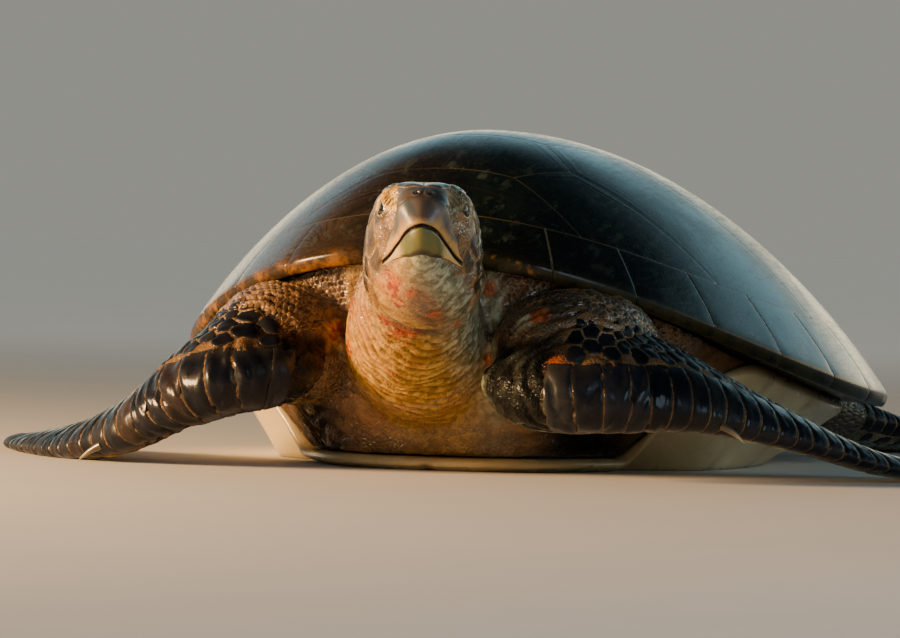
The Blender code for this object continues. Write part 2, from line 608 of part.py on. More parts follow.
def add_body():
    """All the flesh, cut where it meets the shell, the floor and its own neighbours."""
    trunk = add_trunk("trunk_space", GAP)
    plates = add_plastron("plastron_space", GAP)
    shell = add_shell_cutter()
    half = FLOOR_CUT / 2
    block = np.array([[x, y, z] for z in (-FLOOR_CUT, 0.0) for x, y in ((-1, -1), (1, -1), (1, 1), (-1, 1))])
    floor = add_loft("floor_space", block.reshape(2, 4, 3) + (0, -half, 0))
    inside = [shell, trunk, plates]
    add_trunk("trunk", 0.0, SKIN_DARK)
    cut(add_neck("neck", 0.0, SKIN_PALE), inside)
    neck = add_neck("neck_space", GAP)
    for word, side in (("left", 1), ("right", -1)):
        slim = ARM_SLIM[word]
        arm_rows = [(x - 0.09 * (1 - slim), y, z, wide * slim, deep, tilt)
                    for x, y, z, wide, deep, tilt in ARM_ROWS]
        cut(add_loft(f"arm_{word}", limb_rings(arm_rows, 11, 16, side=side), SKIN_DARK, 0.6),
            [*inside, neck])
        arm = add_loft(f"arm_{word}_space", limb_rings(arm_rows, 11, 16, grow=GAP, side=side))
        rows = [(x, y, z + lift, *rest) for (x, y, z, *rest), lift in zip(FLIPPER_ROWS, FLIPPER_LIFT[word])]
        lead = BLADE_LEAD
        cut(add_loft(f"flipper_{word}", limb_rings(rows, 20, 12, lead, side=side), SKIN_DARK, 0.4),
            [*inside, neck, arm, floor])
        blade = add_loft(f"flipper_{word}_space", limb_rings(rows, 20, 12, lead, GAP, side))
        add_claw(f"claw_{word}", rows, lead, 22, side, 0.022, 0.0055, blade)
        thigh = limb_rings(THIGH_ROWS[:-1] + (HIND_FLIPPER_ROWS[0],), 7, 14, side=side)
        foot = limb_rings(HIND_FLIPPER_ROWS, 9, 14, BLADE_LEAD * 0.5, side=side)
        step = (foot[1] - foot[0]).mean(axis=0)
        foot[0] = thigh[-1] + step / np.linalg.norm(step) * GAP
        cut(add_loft(f"thigh_{word}", thigh, SKIN_DARK, 0.6), [*inside, floor])
        cut(add_loft(f"hind_flipper_{word}", foot, SKIN_DARK, 0.4), [*inside, floor])
    cut(add_loft("tail", limb_rings(TAIL_ROWS, 8, 14), SKIN_DARK, 0.6), [*inside, floor])


# ---- build ------------------------------------------------------------------------------
for old in list(bpy.data.objects):
    bpy.data.objects.remove(old, do_unlink=True)
bpy.context.scene.collection.children.link(PARTS)
bpy.context.scene.collection.children.link(CUTTERS)
add_carapace()
add_plastron("plastron", 0.0, SHELL_CREAM)
add_body()
add_head()
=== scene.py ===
import math

import bmesh
import bpy
import numpy as np
from mathutils import Matrix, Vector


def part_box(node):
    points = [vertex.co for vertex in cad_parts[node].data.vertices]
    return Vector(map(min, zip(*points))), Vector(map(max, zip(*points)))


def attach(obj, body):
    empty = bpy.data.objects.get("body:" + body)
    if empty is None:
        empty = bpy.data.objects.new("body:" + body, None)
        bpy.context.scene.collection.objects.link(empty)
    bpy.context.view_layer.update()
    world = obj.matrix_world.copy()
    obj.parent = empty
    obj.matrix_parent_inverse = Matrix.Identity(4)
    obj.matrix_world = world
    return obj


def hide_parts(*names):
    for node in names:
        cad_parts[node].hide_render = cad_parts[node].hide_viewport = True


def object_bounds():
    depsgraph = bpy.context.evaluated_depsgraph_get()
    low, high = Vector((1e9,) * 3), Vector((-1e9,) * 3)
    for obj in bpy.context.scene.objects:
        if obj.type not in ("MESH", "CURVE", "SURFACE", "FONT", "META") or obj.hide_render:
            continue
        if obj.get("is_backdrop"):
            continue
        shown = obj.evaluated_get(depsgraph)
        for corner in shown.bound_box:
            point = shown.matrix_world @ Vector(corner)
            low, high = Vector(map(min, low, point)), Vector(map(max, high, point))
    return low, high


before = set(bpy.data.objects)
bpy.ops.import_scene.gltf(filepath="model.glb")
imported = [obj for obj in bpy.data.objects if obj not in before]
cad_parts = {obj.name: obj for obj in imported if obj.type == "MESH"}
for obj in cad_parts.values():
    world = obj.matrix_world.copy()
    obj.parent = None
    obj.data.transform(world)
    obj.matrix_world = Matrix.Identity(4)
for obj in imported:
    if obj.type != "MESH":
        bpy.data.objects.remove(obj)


def corners():
    """The shown model's lowest and highest corners as plain lists of metres."""
    return [[float(value) for value in corner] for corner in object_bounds()]


CAD_BOX = corners()

# ---- viewpoint, floor and lamps -------------------------------------------------------
# The turtle is seen from low down in front and a little to its left, on a plain pale
# studio floor, under a warm lamp from its right and cooler, weaker light elsewhere.
shell_low, shell_high = (np.array(corner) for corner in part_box("carapace"))
SHELL_AT = np.array([(shell_low[0] + shell_high[0]) / 2, shell_high[1] - 0.5, 0.0])
VIEW_AZIMUTH, VIEW_ELEVATION, VIEW_ROLL = math.radians(15.81), math.radians(1.0), math.radians(1.36)
VIEW_DISTANCE, VIEW_LENS, VIEW_REACH = 7.0, 249.3, 200.0
VIEW_HEIGHT = 0.15                      # of the point that the viewpoint's bearings are taken from
AIM_ASIDE, AIM_ABOVE = -0.0984, 0.0038  # from that point to the one in the middle of the view
SKYWARD = (0.0, 0.0, 1.0)


def shown(name, data):
    """A new object in the scene with this data."""
    made = bpy.data.objects.new(name, data)
    bpy.context.scene.collection.objects.link(made)
    return made


def unit(way):
    """One direction, made one metre long."""
    return way / np.linalg.norm(way)


def looking(name, data, spot, target, roll=0.0):
    """A camera or a lamp at a spot, aimed at a target and then rolled."""
    back = unit(np.subtract(spot, target))
    side = unit(np.cross(SKYWARD, back))
    up = np.cross(back, side)
    level, tip = math.cos(roll), math.sin(roll)
    turned = np.eye(4)
    turned[:3] = np.stack([level * side + tip * up, level * up - tip * side, back, spot], 1)
    made = shown(name, data)
    made.matrix_world = Matrix(turned.tolist())
    return made


back = np.array([math.sin(VIEW_AZIMUTH) * math.cos(VIEW_ELEVATION),
                 -math.cos(VIEW_AZIMUTH) * math.cos(VIEW_ELEVATION), math.sin(VIEW_ELEVATION)])
middle = SHELL_AT + (0.0, 0.0, VIEW_HEIGHT)
sideways = np.cross(SKYWARD, back) / math.cos(VIEW_ELEVATION)
aim = middle + AIM_ASIDE * sideways + AIM_ABOVE * np.cross(back, sideways)
view = bpy.data.cameras.new("viewpoint")
view.lens, view.sensor_width, view.clip_end = VIEW_LENS, 36.0, VIEW_REACH
bpy.context.scene.camera = looking("viewpoint", view, middle + back * VIEW_DISTANCE, aim, VIEW_ROLL)


def facing_out(points, parts):
    """Arrays of faces, all turned round where they enclose less than nothing."""
    volume = 0.0
    for part in parts:
        for k in range(1, part.shape[1] - 1):
            volume += np.einsum("ij,ij->i", points[part[:, 0]],
                                np.cross(points[part[:, k]], points[part[:, k + 1]])).sum()
    return [part[:, ::-1] if volume < 0 else part for part in parts]


def put_in(name, points, faces, smooth=True, **values):
    """A mesh object from arrays: points n x 3, faces a list of m x 3 or m x 4 arrays, and
    any number of named values or vectors for each point. Faces are turned outwards."""
    faces = [np.asarray(part, np.int64) for part in (faces if isinstance(faces, list) else [faces])]
    points = np.ascontiguousarray(points, np.float64).reshape(-1, 3)
    faces = facing_out(points, faces)
    mesh = bpy.data.meshes.new(name)
    mesh.vertices.add(len(points))
    mesh.vertices.foreach_set("co", points.ravel())
    mesh.loops.add(sum(part.size for part in faces))
    mesh.loops.foreach_set("vertex_index", np.concatenate([part.ravel() for part in faces]))
    sizes = np.concatenate([np.full(len(part), part.shape[1]) for part in faces])
    mesh.polygons.add(len(sizes))
    mesh.polygons.foreach_set("loop_start", np.concatenate([[0], np.cumsum(sizes)[:-1]]))
    mesh.update(calc_edges=True)
    for key, value in values.items():
        value = np.asarray(value, np.float64)
        vector = value.ndim > 1 and value.shape[-1] == 3 and value.size == points.size
        layer = mesh.attributes.new(key, "FLOAT_VECTOR" if vector else "FLOAT", "POINT")
        layer.data.foreach_set("vector" if vector else "value", value.ravel())
    if smooth:
        mesh.shade_smooth()
    return shown(name, mesh)


at_hand = {}        # "tree": where new nodes go, the tree of the last surface() or effect()


def feed(made, **inputs):
    """Sets a node's inputs: each is a socket to link, or a number or a colour to set. A name
    is written with _ for a space, and in3 is the input with that number. Gives the node."""
    for key, value in inputs.items():
        number = key[2:] if key.startswith("in") and key[2:].isdigit() else None
        socket = made.inputs[int(number)] if number else made.inputs[key.replace("_", " ")]
        if isinstance(value, bpy.types.NodeSocket):
            made.id_data.links.new(value, socket)
        elif isinstance(value, tuple) and len(value) == 3 and socket.type == "RGBA":
            socket.default_value = (*value, 1.0)
        else:
            socket.default_value = value
    return made


def node(kind, settings=(), **inputs):
    """A new shader node with its settings and inputs."""
    made = at_hand["tree"].nodes.new("ShaderNode" + kind)
    for key, value in dict(settings).items():
        setattr(made, key, value)
    return feed(made, **inputs)


def sums(operation, *values):
    """A maths node's result."""
    return node("Math", {"operation": operation}, **{f"in{k}": value for k,
                                                     value in enumerate(values)}).outputs[0]


def times(first, second):
    """The product of two values."""
    return sums("MULTIPLY", first, second)


def plus(first, second):
    """The sum of two values."""
    return sums("ADD", first, second)


def blend(share, first, second, most=1.0):
    """Two colours mixed by a share, of which `most` is left when it is full."""
    share = share if most == 1.0 else times(share, most)
    return node("Mix", {"data_type": "RGBA", "clamp_factor": True}, in0=share, in6=first,
                in7=second).outputs[2]


def step(value, low, high, start=0.0, end=1.0):
    """A value carried smoothly from start to end as the input goes from low to high."""
    return node("MapRange", {"interpolation_type": "SMOOTHSTEP"}, Value=value, From_Min=low,
                From_Max=high, To_Min=start, To_Max=end).outputs[0]


def grain(place, scale, detail=3.0, roughness=0.55, stretch=None, distortion=0.0):
    """A noise value, its coordinates stretched by three factors where given."""
    if stretch:
        place = node("Mapping", Vector=place, Scale=stretch).outputs[0]
    return node("TexNoise", Vector=place, Scale=scale, Detail=detail, Roughness=roughness,
                Distortion=distortion).outputs[0]


def held(name, kind="Fac"):
    """A value, or a Vector, that the mesh holds for each point."""
    return node("Attribute", {"attribute_name": name}).outputs[kind]


def part_x(place):
    """The first coordinate of a place."""
    return node("SeparateXYZ", Vector=place).outputs["X"]


def surface(name):
    """A new material, its Principled shader and its Object coordinates."""
    made = bpy.data.materials.new(name)
    made.use_nodes = True
    at_hand["tree"] = made.node_tree
    return made, made.node_tree.nodes["Principled BSDF"], node("TexCoord").outputs["Object"]


def effect(name, inputs, outputs):
    """A new node group with its inputs and outputs, and its two end nodes."""
    tree = at_hand["tree"] = bpy.data.node_groups.new(name, "ShaderNodeTree")
    for key, value in inputs.items():
        socket = tree.interface.new_socket(key, in_out="INPUT", socket_type="NodeSocket"
                                           + ("Vector" if value is None else "Float"))
        if value is not None:
            socket.default_value = value
    for key, kind in outputs.items():
        tree.interface.new_socket(key, in_out="OUTPUT", socket_type="NodeSocket" + kind)
    return tree, tree.nodes.new("NodeGroupInput").outputs, tree.nodes.new("NodeGroupOutput")


def use(group, **inputs):
    """An effect placed in a material, with its own values: its outputs."""
    return node("Group", {"node_tree": group}, **inputs).outputs


def relief(shader, height, strength, distance):
    """A height fed through a Bump node to a shader and its coat."""
    bump = node("Bump", Height=height, Strength=strength, Distance=distance).outputs[0]
    feed(shader, Normal=bump, Coat_Normal=bump)


def sheet_faces(rows, columns, closed=False):
    """Quads of a grid of points, its columns joined round where it is closed."""
    across = np.arange(columns if closed else columns - 1)
    down = np.arange(rows - 1)[:, None]
    right = (across + 1) % columns
    return np.stack([down * columns + across, down * columns + right,
                     (down + 1) * columns + right, (down + 1) * columns + across], -1).reshape(-1, 4)


FLOOR_REACH, FLOOR_ROWS, FLOOR_SINK = 40.0, 9, 0.0004
spread = np.linspace(-FLOOR_REACH, FLOOR_REACH, FLOOR_ROWS)
floor_points = np.stack([*np.meshgrid(spread, spread), np.full((FLOOR_ROWS, FLOOR_ROWS), -FLOOR_SINK)],
                        -1)
floor = put_in("studio_floor", floor_points, sheet_faces(FLOOR_ROWS, FLOOR_ROWS), smooth=False)
paint, shader, place = surface("pale_floor")
feed(shader, Base_Color=blend(grain(place, 3.0), (0.66, 0.645, 0.62), (0.72, 0.705, 0.68)), Roughness=0.75)
# the far floor glows a little, up to the strip of sky that it meets
GLOW_TONE, GLOW_STARTS, GLOW_FULL = (0.199, 0.179, 0.159), 1.0, 7.0
away = node("VectorMath", {"operation": "LENGTH"}, Vector=place).outputs["Value"]
feed(shader, Emission_Color=GLOW_TONE, Emission_Strength=step(away, GLOW_STARTS, GLOW_FULL))
floor.data.materials.append(paint)
floor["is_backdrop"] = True

world = bpy.data.worlds.new("studio")
bpy.context.scene.world = world
world.use_nodes = True
# The sky from overhead down: each tone, and the heights between which it gives way to the
# one before. It is dark overhead, then blue and weak, then a wide bright screen low behind
# the turtle, and under that a strip as bright as the far floor.
OVERHEAD = (0.008, 0.013, 0.016)
SKY = (((0.30, 0.54, 0.62), 0.33, 0.67), ((1.45, 1.28, 0.86), 0.11, 0.31),
       ((0.294, 0.294, 0.264), 0.036, 0.085))
IN_FRONT = 0.22             # the sky's strength in front of the turtle, as a share of that behind
at_hand["tree"] = world.node_tree
bearing = node("SeparateXYZ", Vector=node("TexCoord").outputs["Generated"]).outputs
sky = OVERHEAD
for lower_tone, low, high in SKY:
    sky = blend(step(bearing["Z"], low, high), lower_tone, sky)
feed(world.node_tree.nodes["Background"], Color=sky, Strength=step(bearing["Y"], -0.5, 0.5, IN_FRONT, 1.0))

LAMPS = {   # place, what it points at, size, colour and power
    "warm_key": ((-2.7, -2.0, 0.85), (-0.1, -0.35, 0.18), 0.9, (1.0, 0.60, 0.28), 370.0),
    "cool_fill": ((3.0, -2.6, 1.5), (0.2, -0.1, 0.15), 2.0, (0.62, 0.82, 1.0), 30.0),
}
for lamp_name, (spot, target, size, colour, power) in LAMPS.items():
    lamp = bpy.data.lights.new(lamp_name, "AREA")
    lamp.shape, lamp.size, lamp.color, lamp.energy = "DISK", size, colour, power
    looking(lamp_name, lamp, spot, target)

# ---- the carapace ---------------------------------------------------------------------
# A domed shell of bone under plates of horn: five vertebral and eight costal scutes, a
# nuchal and twenty-four marginals that wrap round the rim. Thin pale sutures part them.
SHELL_HALF_LENGTH, SHELL_HALF_WIDTH, SHELL_TOP, APEX_Y = 0.5, 0.38, 0.3645, -0.20
RIM_FRONT, RIM_SIDE, RIM_REAR, RIM_LIP = 0.233, 0.068, 0.084, 0.014
PLAN_TAPER, PLAN_SQUARENESS = -0.054, 0.918
DOME_M, DOME_N = 2.02, 0.924
NUCHAL_DIP, NUCHAL_WIDTH = 0.015, 0.22
MARGINAL_SEAMS = (7.5, 22, 36, 50, 64, 78, 92, 106, 120, 134, 148, 163, 180)
COSTAL_LANDINGS = (29, 57, 85, 117, 153)
MARGINAL_FRONT, MARGINAL_SIDE = 0.85, 0.875
VERTEBRAL_SEAM_Y = (-0.60, -0.23, 0.14, 0.50)
VERTEBRAL_SEAM_X = (0.19, 0.20, 0.18, 0.13)
VERTEBRAL_CORNERS = ((0.315, -0.42), (0.325, -0.05), (0.29, 0.33))
UNDER_OUTER, UNDER_INNER = 0.985, 0.84
SUTURE_HALF = 0.0003        # half the pale strip between two scutes
SUTURE_SINK = 0.0003        # how far the scutes turn down to it
SUTURE_FALL = 0.0024        # over what width they do
RIM_METRES = 0.45           # metres for one radian round the rim, on the whole
PLATE_FOOT = 0.006          # how far a marginal's edge goes down at its suture
SCUTE_FOOT = 0.0058         # the same for the scutes inside them
RIDGE_HEIGHT = 0.0001       # of the rings of growth
SCUTE_RINGS, CROWDING = 26, 1.8         # rows from areola to suture, and how they crowd there
SCUTE_GROWTH, MARGINAL_GROWTH = (0.011, 0.035), (0.010, 0.025)   # ridges' spacing and reach
DISC = 0.44                 # metres for one unit of the disc, on the whole


def each_unit(vectors, least=0.0):
    """Every vector of an array at length 1; `least` keeps one without a length at zero."""
    return vectors / (np.linalg.norm(vectors, axis=-1, keepdims=True) + least)


def bump(value, width, power=2):
    """A bell curve: 1 at zero and nearly 0 beyond twice the width, flatter on top and steeper
    for a higher power."""
    return np.exp(-((value / width) ** power))


def rim(angle):
    """Rim of the carapace at an angle from the front: an ellipse squared off a little and
    wider behind, its height falling from the raised front to the sides as a cubed cosine."""
    s, c = np.sin(angle), np.cos(angle)
    x = SHELL_HALF_WIDTH * np.sign(s) * np.abs(s) ** PLAN_SQUARENESS * (1 + PLAN_TAPER * c)
    y = -SHELL_HALF_LENGTH * c + NUCHAL_DIP * bump(angle, NUCHAL_WIDTH)
    z = (RIM_SIDE + (RIM_FRONT - RIM_SIDE) * ((1 + c) / 2) ** 3
         + (RIM_REAR - RIM_SIDE) * ((1 - c) / 2) ** 3)
    return x, y, z


def plan(angle, r, z):
    """A point at disc radius r, 0 at the apex and 1 at the rim, and at height z."""
    x, y, _ = rim(angle)
    x, y, z = np.broadcast_arrays(x * r, APEX_Y * (1 - r) + y * r, z)
    return np.stack([x, y, z], -1) + SHELL_AT


def dome(angle, r, lift=0.0):
    """The carapace's outer side: the rim's height plus a rise of (1 - r^M)^N."""
    inside = np.clip(r, 0.0, 1.0)
    height = rim(angle)[2]
    z = height + (SHELL_TOP - height) * (1 - inside**DOME_M) ** DOME_N
    return plan(angle, r, z + lift)


def under(angle, r):
    """Height of the carapace's underside: a shelf inside the rim, then a hollow."""
    height = rim(angle)[2] - RIM_LIP
    shelf = height + (UNDER_OUTER - r) * 0.08
    hollow = height * 0.35 + 0.15
    inner = np.clip((UNDER_INNER - r) / UNDER_INNER, 0, 1)
    return shelf + (np.maximum(hollow, shelf) - shelf) * inner


def border(angle):
    """Disc radius of the suture inside the marginal scutes."""
    return MARGINAL_FRONT + (MARGINAL_SIDE - MARGINAL_FRONT) * np.abs(np.sin(angle))


def disc(degrees, r=None):
    """Disc coordinates, x to the left and y to the rear, on the marginals' suture or at r."""
    angle = np.radians(degrees)
    r = border(angle) if r is None else r
    return np.stack([r * np.sin(angle), -r * np.cos(angle)], -1)


def path(*points, pieces=12):
    """Points along straight runs through the given ones, leaving out the last."""
    points = [np.asarray(p, float) for p in points]
    share = np.arange(pieces)[:, None] / pieces
    return np.vstack([a + (b - a) * share for a, b in zip(points, points[1:])])


def border_run(first, last):
    """Points along the marginals' suture from one angle to another, leaving out the last."""
    count = max(int(abs(last - first) / 0.9), 2)
    return disc(first + (last - first) * np.arange(count) / count)


def inner_scutes():
    """Outlines of the five vertebral and the eight costal scutes, as disc points."""
    flip = np.array([-1.0, 1.0])
    seams = [np.array(p) for p in zip(VERTEBRAL_SEAM_X, VERTEBRAL_SEAM_Y)]
    knees = [np.array(p) for p in VERTEBRAL_CORNERS]
    first, last = COSTAL_LANDINGS[0], COSTAL_LANDINGS[-1]
    front, rear = disc(first), disc(last)
    sides = [[front, seams[0]], *([seams[k], knees[k], seams[k + 1]] for k in range(3)),
             [seams[3], rear]]
    vertebrals, costals = [], []
    for k, left in enumerate(sides):
        up = [p * flip for p in left[::-1]]
        head = path(left[0] * flip, left[0], pieces=24) if k else border_run(-first, first)
        foot = path(left[-1], left[-1] * flip, pieces=24) if k < 4 else border_run(last, 360 - last)
        vertebrals.append(np.vstack([head, path(*left), foot, path(*up)]))
    corners = [front, *knees, rear]
    for k, run in enumerate(zip(corners, seams, corners[1:])):
        a, b = COSTAL_LANDINGS[k], COSTAL_LANDINGS[k + 1]
        loop = [path(*run)]
        if k < 3:
            loop.append(path(run[-1], disc(b), pieces=24))
        loop.append(border_run(b, a))
        if k:
            loop.append(path(disc(a), run[0], pieces=24))
        loop = np.vstack(loop)
        costals += [loop, loop * flip]
    return vertebrals, costals


def horn_lift(edge, spacing, reach):
    """Height of the horn at a distance from its suture: it turns down there, and ridges of
    growth follow the suture, fainter inwards."""
    ridge = np.cos(edge * 2 * math.pi / spacing) * bump(edge, reach)
    return -SUTURE_SINK * bump(edge, SUTURE_FALL) + RIDGE_HEIGHT * ridge


def scute_points(outline, areola):
    """One scute: its outline drawn in to the areola ring by ring, closer together near the
    suture. Gives the points, their distances from the suture, and rays from the areola."""
    span = np.linalg.norm(outline - areola, axis=1) * DISC
    share = 1 - (1 - np.linspace(0.0, 1.0, SCUTE_RINGS)) ** CROWDING
    share = np.append(share, 1.0)[:, None] * (1 - SUTURE_HALF / span)
    spots = areola + (outline - areola) * share[..., None]
    edge = (1 - share) * span
    lift = horn_lift(edge, *SCUTE_GROWTH)
    lift[-1] = -SCUTE_FOOT
    angle = np.arctan2(spots[..., 0], -spots[..., 1])
    points = dome(angle, np.hypot(spots[..., 0], spots[..., 1]), lift)
    way = each_unit(outline - areola)
    rays = np.stack([np.broadcast_to(way[:, 0], edge.shape), np.broadcast_to(way[:, 1], edge.shape),
                     edge / 0.25 + areola.sum() * 7], -1)
    return points, edge, rays


def plates(name, parts, closed, **values):
    """Sheets of horn side by side as one piece. Each part is a grid of points, with their
    distances from the suture and their rays."""
    faces, count = [], 0
    for spots, edge, _ in parts:
        faces.append(sheet_faces(*edge.shape, closed) + count)
        count += edge.size
    points, rays = (np.vstack([part[k].reshape(-1, 3) for part in parts]) for k in (0, 2))
    edges = np.concatenate([part[1].ravel() for part in parts])
    return put_in(name, points, np.vstack(faces), edge=edges, rays=rays, **values)


def scute_piece(name, outlines, lean_x, lean_y):
    """Scutes as one piece, each areola off its middle by `lean_x` outwards and `lean_y` to
    the rear."""
    middles = [outline.mean(axis=0) for outline in outlines]
    return plates(name, [scute_points(outline, spot + (lean_x * np.sign(spot[0]), lean_y))
                         for outline, spot in zip(outlines, middles)], True)


# the marginals' section: shares of their top from the suture to the rim, the lip's disc radii
# and how far below the rim they lie, how many points follow below, and how much of the
# underside's tone each point takes, amber with painted sunlit glow on the turtle's right and
# dark olive, painted shade, on its left
MARGINAL_TOP = (0.0, 0.006, 0.02, 0.05, 0.12, 0.22, 0.34, 0.46, 0.58, 0.70, 0.81, 0.90, 0.96, 1.0)
MARGINAL_LIP_R, MARGINAL_LIP_DROP = (1.0, 0.9985, 0.9955, 0.991), (0.0030, 0.0062, 0.0093, 0.0120)
MARGINAL_BELOW = 10
NOTCH_DEPTH, NOTCH_WIDTH = 0.0008, 0.007    # of the rim between two marginals
MARGINAL_UNDERSIDE = (*[0.0] * 11, 0.12, 0.4, 0.7, 0.8, 0.9, 1.0, 1.0, *[1.0] * MARGINAL_BELOW)
MARGINAL_SHARES = (0, 0, 0.015, 0.04, 0.08, 0.15, 0.25, 0.37, 0.5, 0.63, 0.75, 0.85, 0.92, 0.96, 0.985,
                   1, 1)


def marginal_profile(angle):
    """A section through the rim as disc radius and height, from the inner suture over the
    top, round the thick lip and in along the underside; and the way out of the surface."""
    top = border(angle) + (1.0 - border(angle)) * np.array(MARGINAL_TOP)
    below = np.linspace(UNDER_OUTER, UNDER_INNER, MARGINAL_BELOW)
    r = np.concatenate([top, MARGINAL_LIP_R, below])
    z = np.concatenate([dome(np.full(len(top), angle), top)[:, 2],
                        rim(angle)[2] - np.array(MARGINAL_LIP_DROP), under(angle, below)])
    tangent = np.stack([np.gradient(r) * DISC, np.gradient(z)], -1)
    tangent /= np.linalg.norm(tangent, axis=1)[:, None]
    normal = np.stack([-tangent[:, 1] / DISC, tangent[:, 0]], -1)
    return r, z, normal


def marginal_piece(name):
    """The nuchal and the marginals as closed plates round the rim, hollow towards the bone."""
    spans = [(-MARGINAL_SEAMS[0], MARGINAL_SEAMS[0])]
    for a, b in zip(MARGINAL_SEAMS, MARGINAL_SEAMS[1:]):
        spans += [(a, b), (-b, -a)]
    parts, share = [], np.array(MARGINAL_SHARES)
    inset = math.degrees(SUTURE_HALF / RIM_METRES)
    for first, last in spans:
        angles = np.radians(first + inset + (last - first - 2 * inset) * share)
        side = (np.minimum(share, 1 - share) * math.radians(last - first) * RIM_METRES)[:, None]
        r, z, out = (np.stack(part) for part in zip(*[marginal_profile(a) for a in angles]))
        inner = np.arange(r.shape[1])
        to_border = np.abs(r - border(angles)[:, None]) * DISC
        to_border[:, len(MARGINAL_TOP) - 1:] = 1.0
        edge = np.minimum(side, to_border)
        notch = NOTCH_DEPTH * bump(side, NOTCH_WIDTH) * ((inner > 10) & (inner < 19))
        lift = horn_lift(edge, *MARGINAL_GROWTH) - notch
        lift[[0, -1]] = lift[:, 0] = -PLATE_FOOT
        r, z = r + out[..., 0] * lift, z + out[..., 1] * lift
        spots = plan(angles[:, None], r, z)
        way = each_unit(spots - spots[len(share) // 2, 10], 1e-6)
        parts.append((spots, edge, way + (0, 0, first * 0.1)))
    return plates(name, parts, False, under=np.tile(MARGINAL_UNDERSIDE, len(spans) * len(share)))


def closed_faces(rows, columns):
    """Faces of a stack of closed rings: its sides, and a fan over either end."""
    fan = np.array([[0, k, k + 1] for k in range(1, columns - 1)])
    return [sheet_faces(rows, columns, True), fan[:, ::-1], fan + (rows - 1) * columns]


BONE_SINK, BONE_RISE = 0.0012, 0.003     # below the dome, and above the carapace's underside


def bone_piece(name):
    """The bone under the scutes, seen only in the sutures: the dome, sunk, over the
    underside, raised, closed at both poles."""
    angles = np.radians(np.arange(0, 360, 2.0))
    angles = np.where(angles > math.pi, angles - 2 * math.pi, angles)
    down = [dome(angles, r, -BONE_SINK) for r in np.sqrt(np.linspace(0.0004, 0.96, 40))]
    up = [plan(angles, r, under(angles, r) + BONE_RISE) for r in (0.972, 0.9, 0.84, 0.6, 0.3, 0.02)]
    return put_in(name, np.stack(down + up), closed_faces(len(down + up), len(angles)))


# the look of wet things: a film of water that lies in patches, used on horn and skin alike
wet, ends_in, ends_out = effect("wet_film", {"Vector": None, "Scale": 9.0, "Dry": 0.32, "Wet": 0.12},
                                {"Roughness": "Float", "Film": "Float", "Height": "Float"})
patches = grain(ends_in["Vector"], ends_in["Scale"], 4.0, 0.6)
film = step(patches, 0.38, 0.60)
fine = grain(ends_in["Vector"], 160.0, 2.0)
spread_of = node("Mix", {"data_type": "FLOAT"}, in0=film, in2=ends_in["Dry"],
                 in3=ends_in["Wet"]).outputs[0]
feed(ends_out, Roughness=spread_of, Film=film, Height=fine)


def moisten(shader, place, scale, dry, moist):
    """Sets a shader's roughness from its dry and its moist one; gives the film and its grain."""
    film = use(wet, Vector=place, Scale=scale, Dry=dry, Wet=moist)
    feed(shader, Roughness=film["Roughness"])
    return film["Film"], film["Height"]


def shell_horn(name, rimmed=False):
    """Wet olive-black horn with streaks that ray out from each areola, worn and a little
    greyer near the sutures, and browner towards the turtle's right as painted warm sunlight; on
    the marginals the lip and underside are amber on that side, their own colour with painted
    sunlit glow, and dark olive, painted shade, on the other."""
    made, shader, place = surface(name)
    rays = held("rays", "Vector")
    streak = grain(rays, 5.0, 5.0, 0.65, (3.2, 3.2, 0.35))
    blotch = grain(place, 7.0, 4.0, 0.6, distortion=0.6)
    fleck = grain(place, 46.0, 3.0, 0.7)
    along_it = grain(place, 60.0, 4.0, 0.7, (1.0, 0.09, 1.0))
    across = part_x(place)
    dark, olive, brown = (0.0020, 0.0035, 0.0036), (0.0055, 0.0120, 0.0075), (0.034, 0.021, 0.013)
    body = blend(step(blotch, 0.44, 0.68), dark, olive)
    body = blend(step(streak, 0.52, 0.74), body, brown, 0.5)
    # painted warm sunlight: the horn turns browner towards the turtle's right, where the warm lamp falls
    sunlit_side = times(step(across, 0.05, -0.26), step(streak, 0.30, 0.66, 0.25, 0.95))
    body = blend(sunlit_side, body, (0.090, 0.056, 0.034))
    body = blend(step(fleck, 0.58, 0.72), body, (0.075, 0.080, 0.045), 0.22)
    body = blend(step(along_it, 0.54, 0.72), body, (0.060, 0.082, 0.064), 0.55)
    edge = held("edge")
    line = times(step(edge, 0.0004, 0.0018, 0.8, 0.0), step(blotch, 0.36, 0.56, 0.25, 1.0))
    body = blend(line, body, (0.085, 0.062, 0.030))
    if rimmed:
        amber = blend(step(grain(place, 26.0, 4.0, 0.7), 0.36, 0.54), (0.22, 0.088, 0.013),
                      (0.026, 0.015, 0.006))
        shaded_olive_rim = blend(step(fleck, 0.4, 0.7), (0.030, 0.026, 0.008), (0.009, 0.009, 0.005))
        # the underside is amber, its own colour lit by painted sunlit glow, on the turtle's right, and
        # dark olive, painted shade, on its left
        amber = blend(step(across, -0.10, 0.04), amber, shaded_olive_rim)
        amber = blend(step(grain(place, 24.0, 3.0), 0.64, 0.71), amber, (0.36, 0.17, 0.040))
        body = blend(held("under"), body, amber)
    film, beads = moisten(shader, place, 6.0, 0.30, 0.14)
    gloss = sums("MULTIPLY_ADD", film, 0.4, 0.6)
    if rimmed:
        matt = sums("MULTIPLY_ADD", held("under"), -0.85, 1.0)
        gloss = times(gloss, matt)
        feed(shader, Specular_IOR_Level=times(matt, 0.5))
    scratch = grain(place, 170.0, 3.0, 0.7, (1.0, 0.12, 1.0))
    feed(shader, Base_Color=body, Coat_Weight=gloss, Coat_Roughness=step(scratch, 0.35, 0.68, 0.08, 0.32))
    height = plus(times(along_it, 0.8), times(streak, 0.6))
    height = plus(height, times(scratch, 0.3))
    relief(shader, plus(height, times(beads, 0.15)), 0.22, 0.0010)
    return made


def fit(piece, finish, slot, *nodes):
    """Gives a piece its finish and its place in the frame: the nodes it replaces, if any,
    and the slot that its looks belong to, which is not used."""
    piece.data.materials.append(finish)
    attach(piece, "root")
    if nodes:
        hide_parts(*nodes)


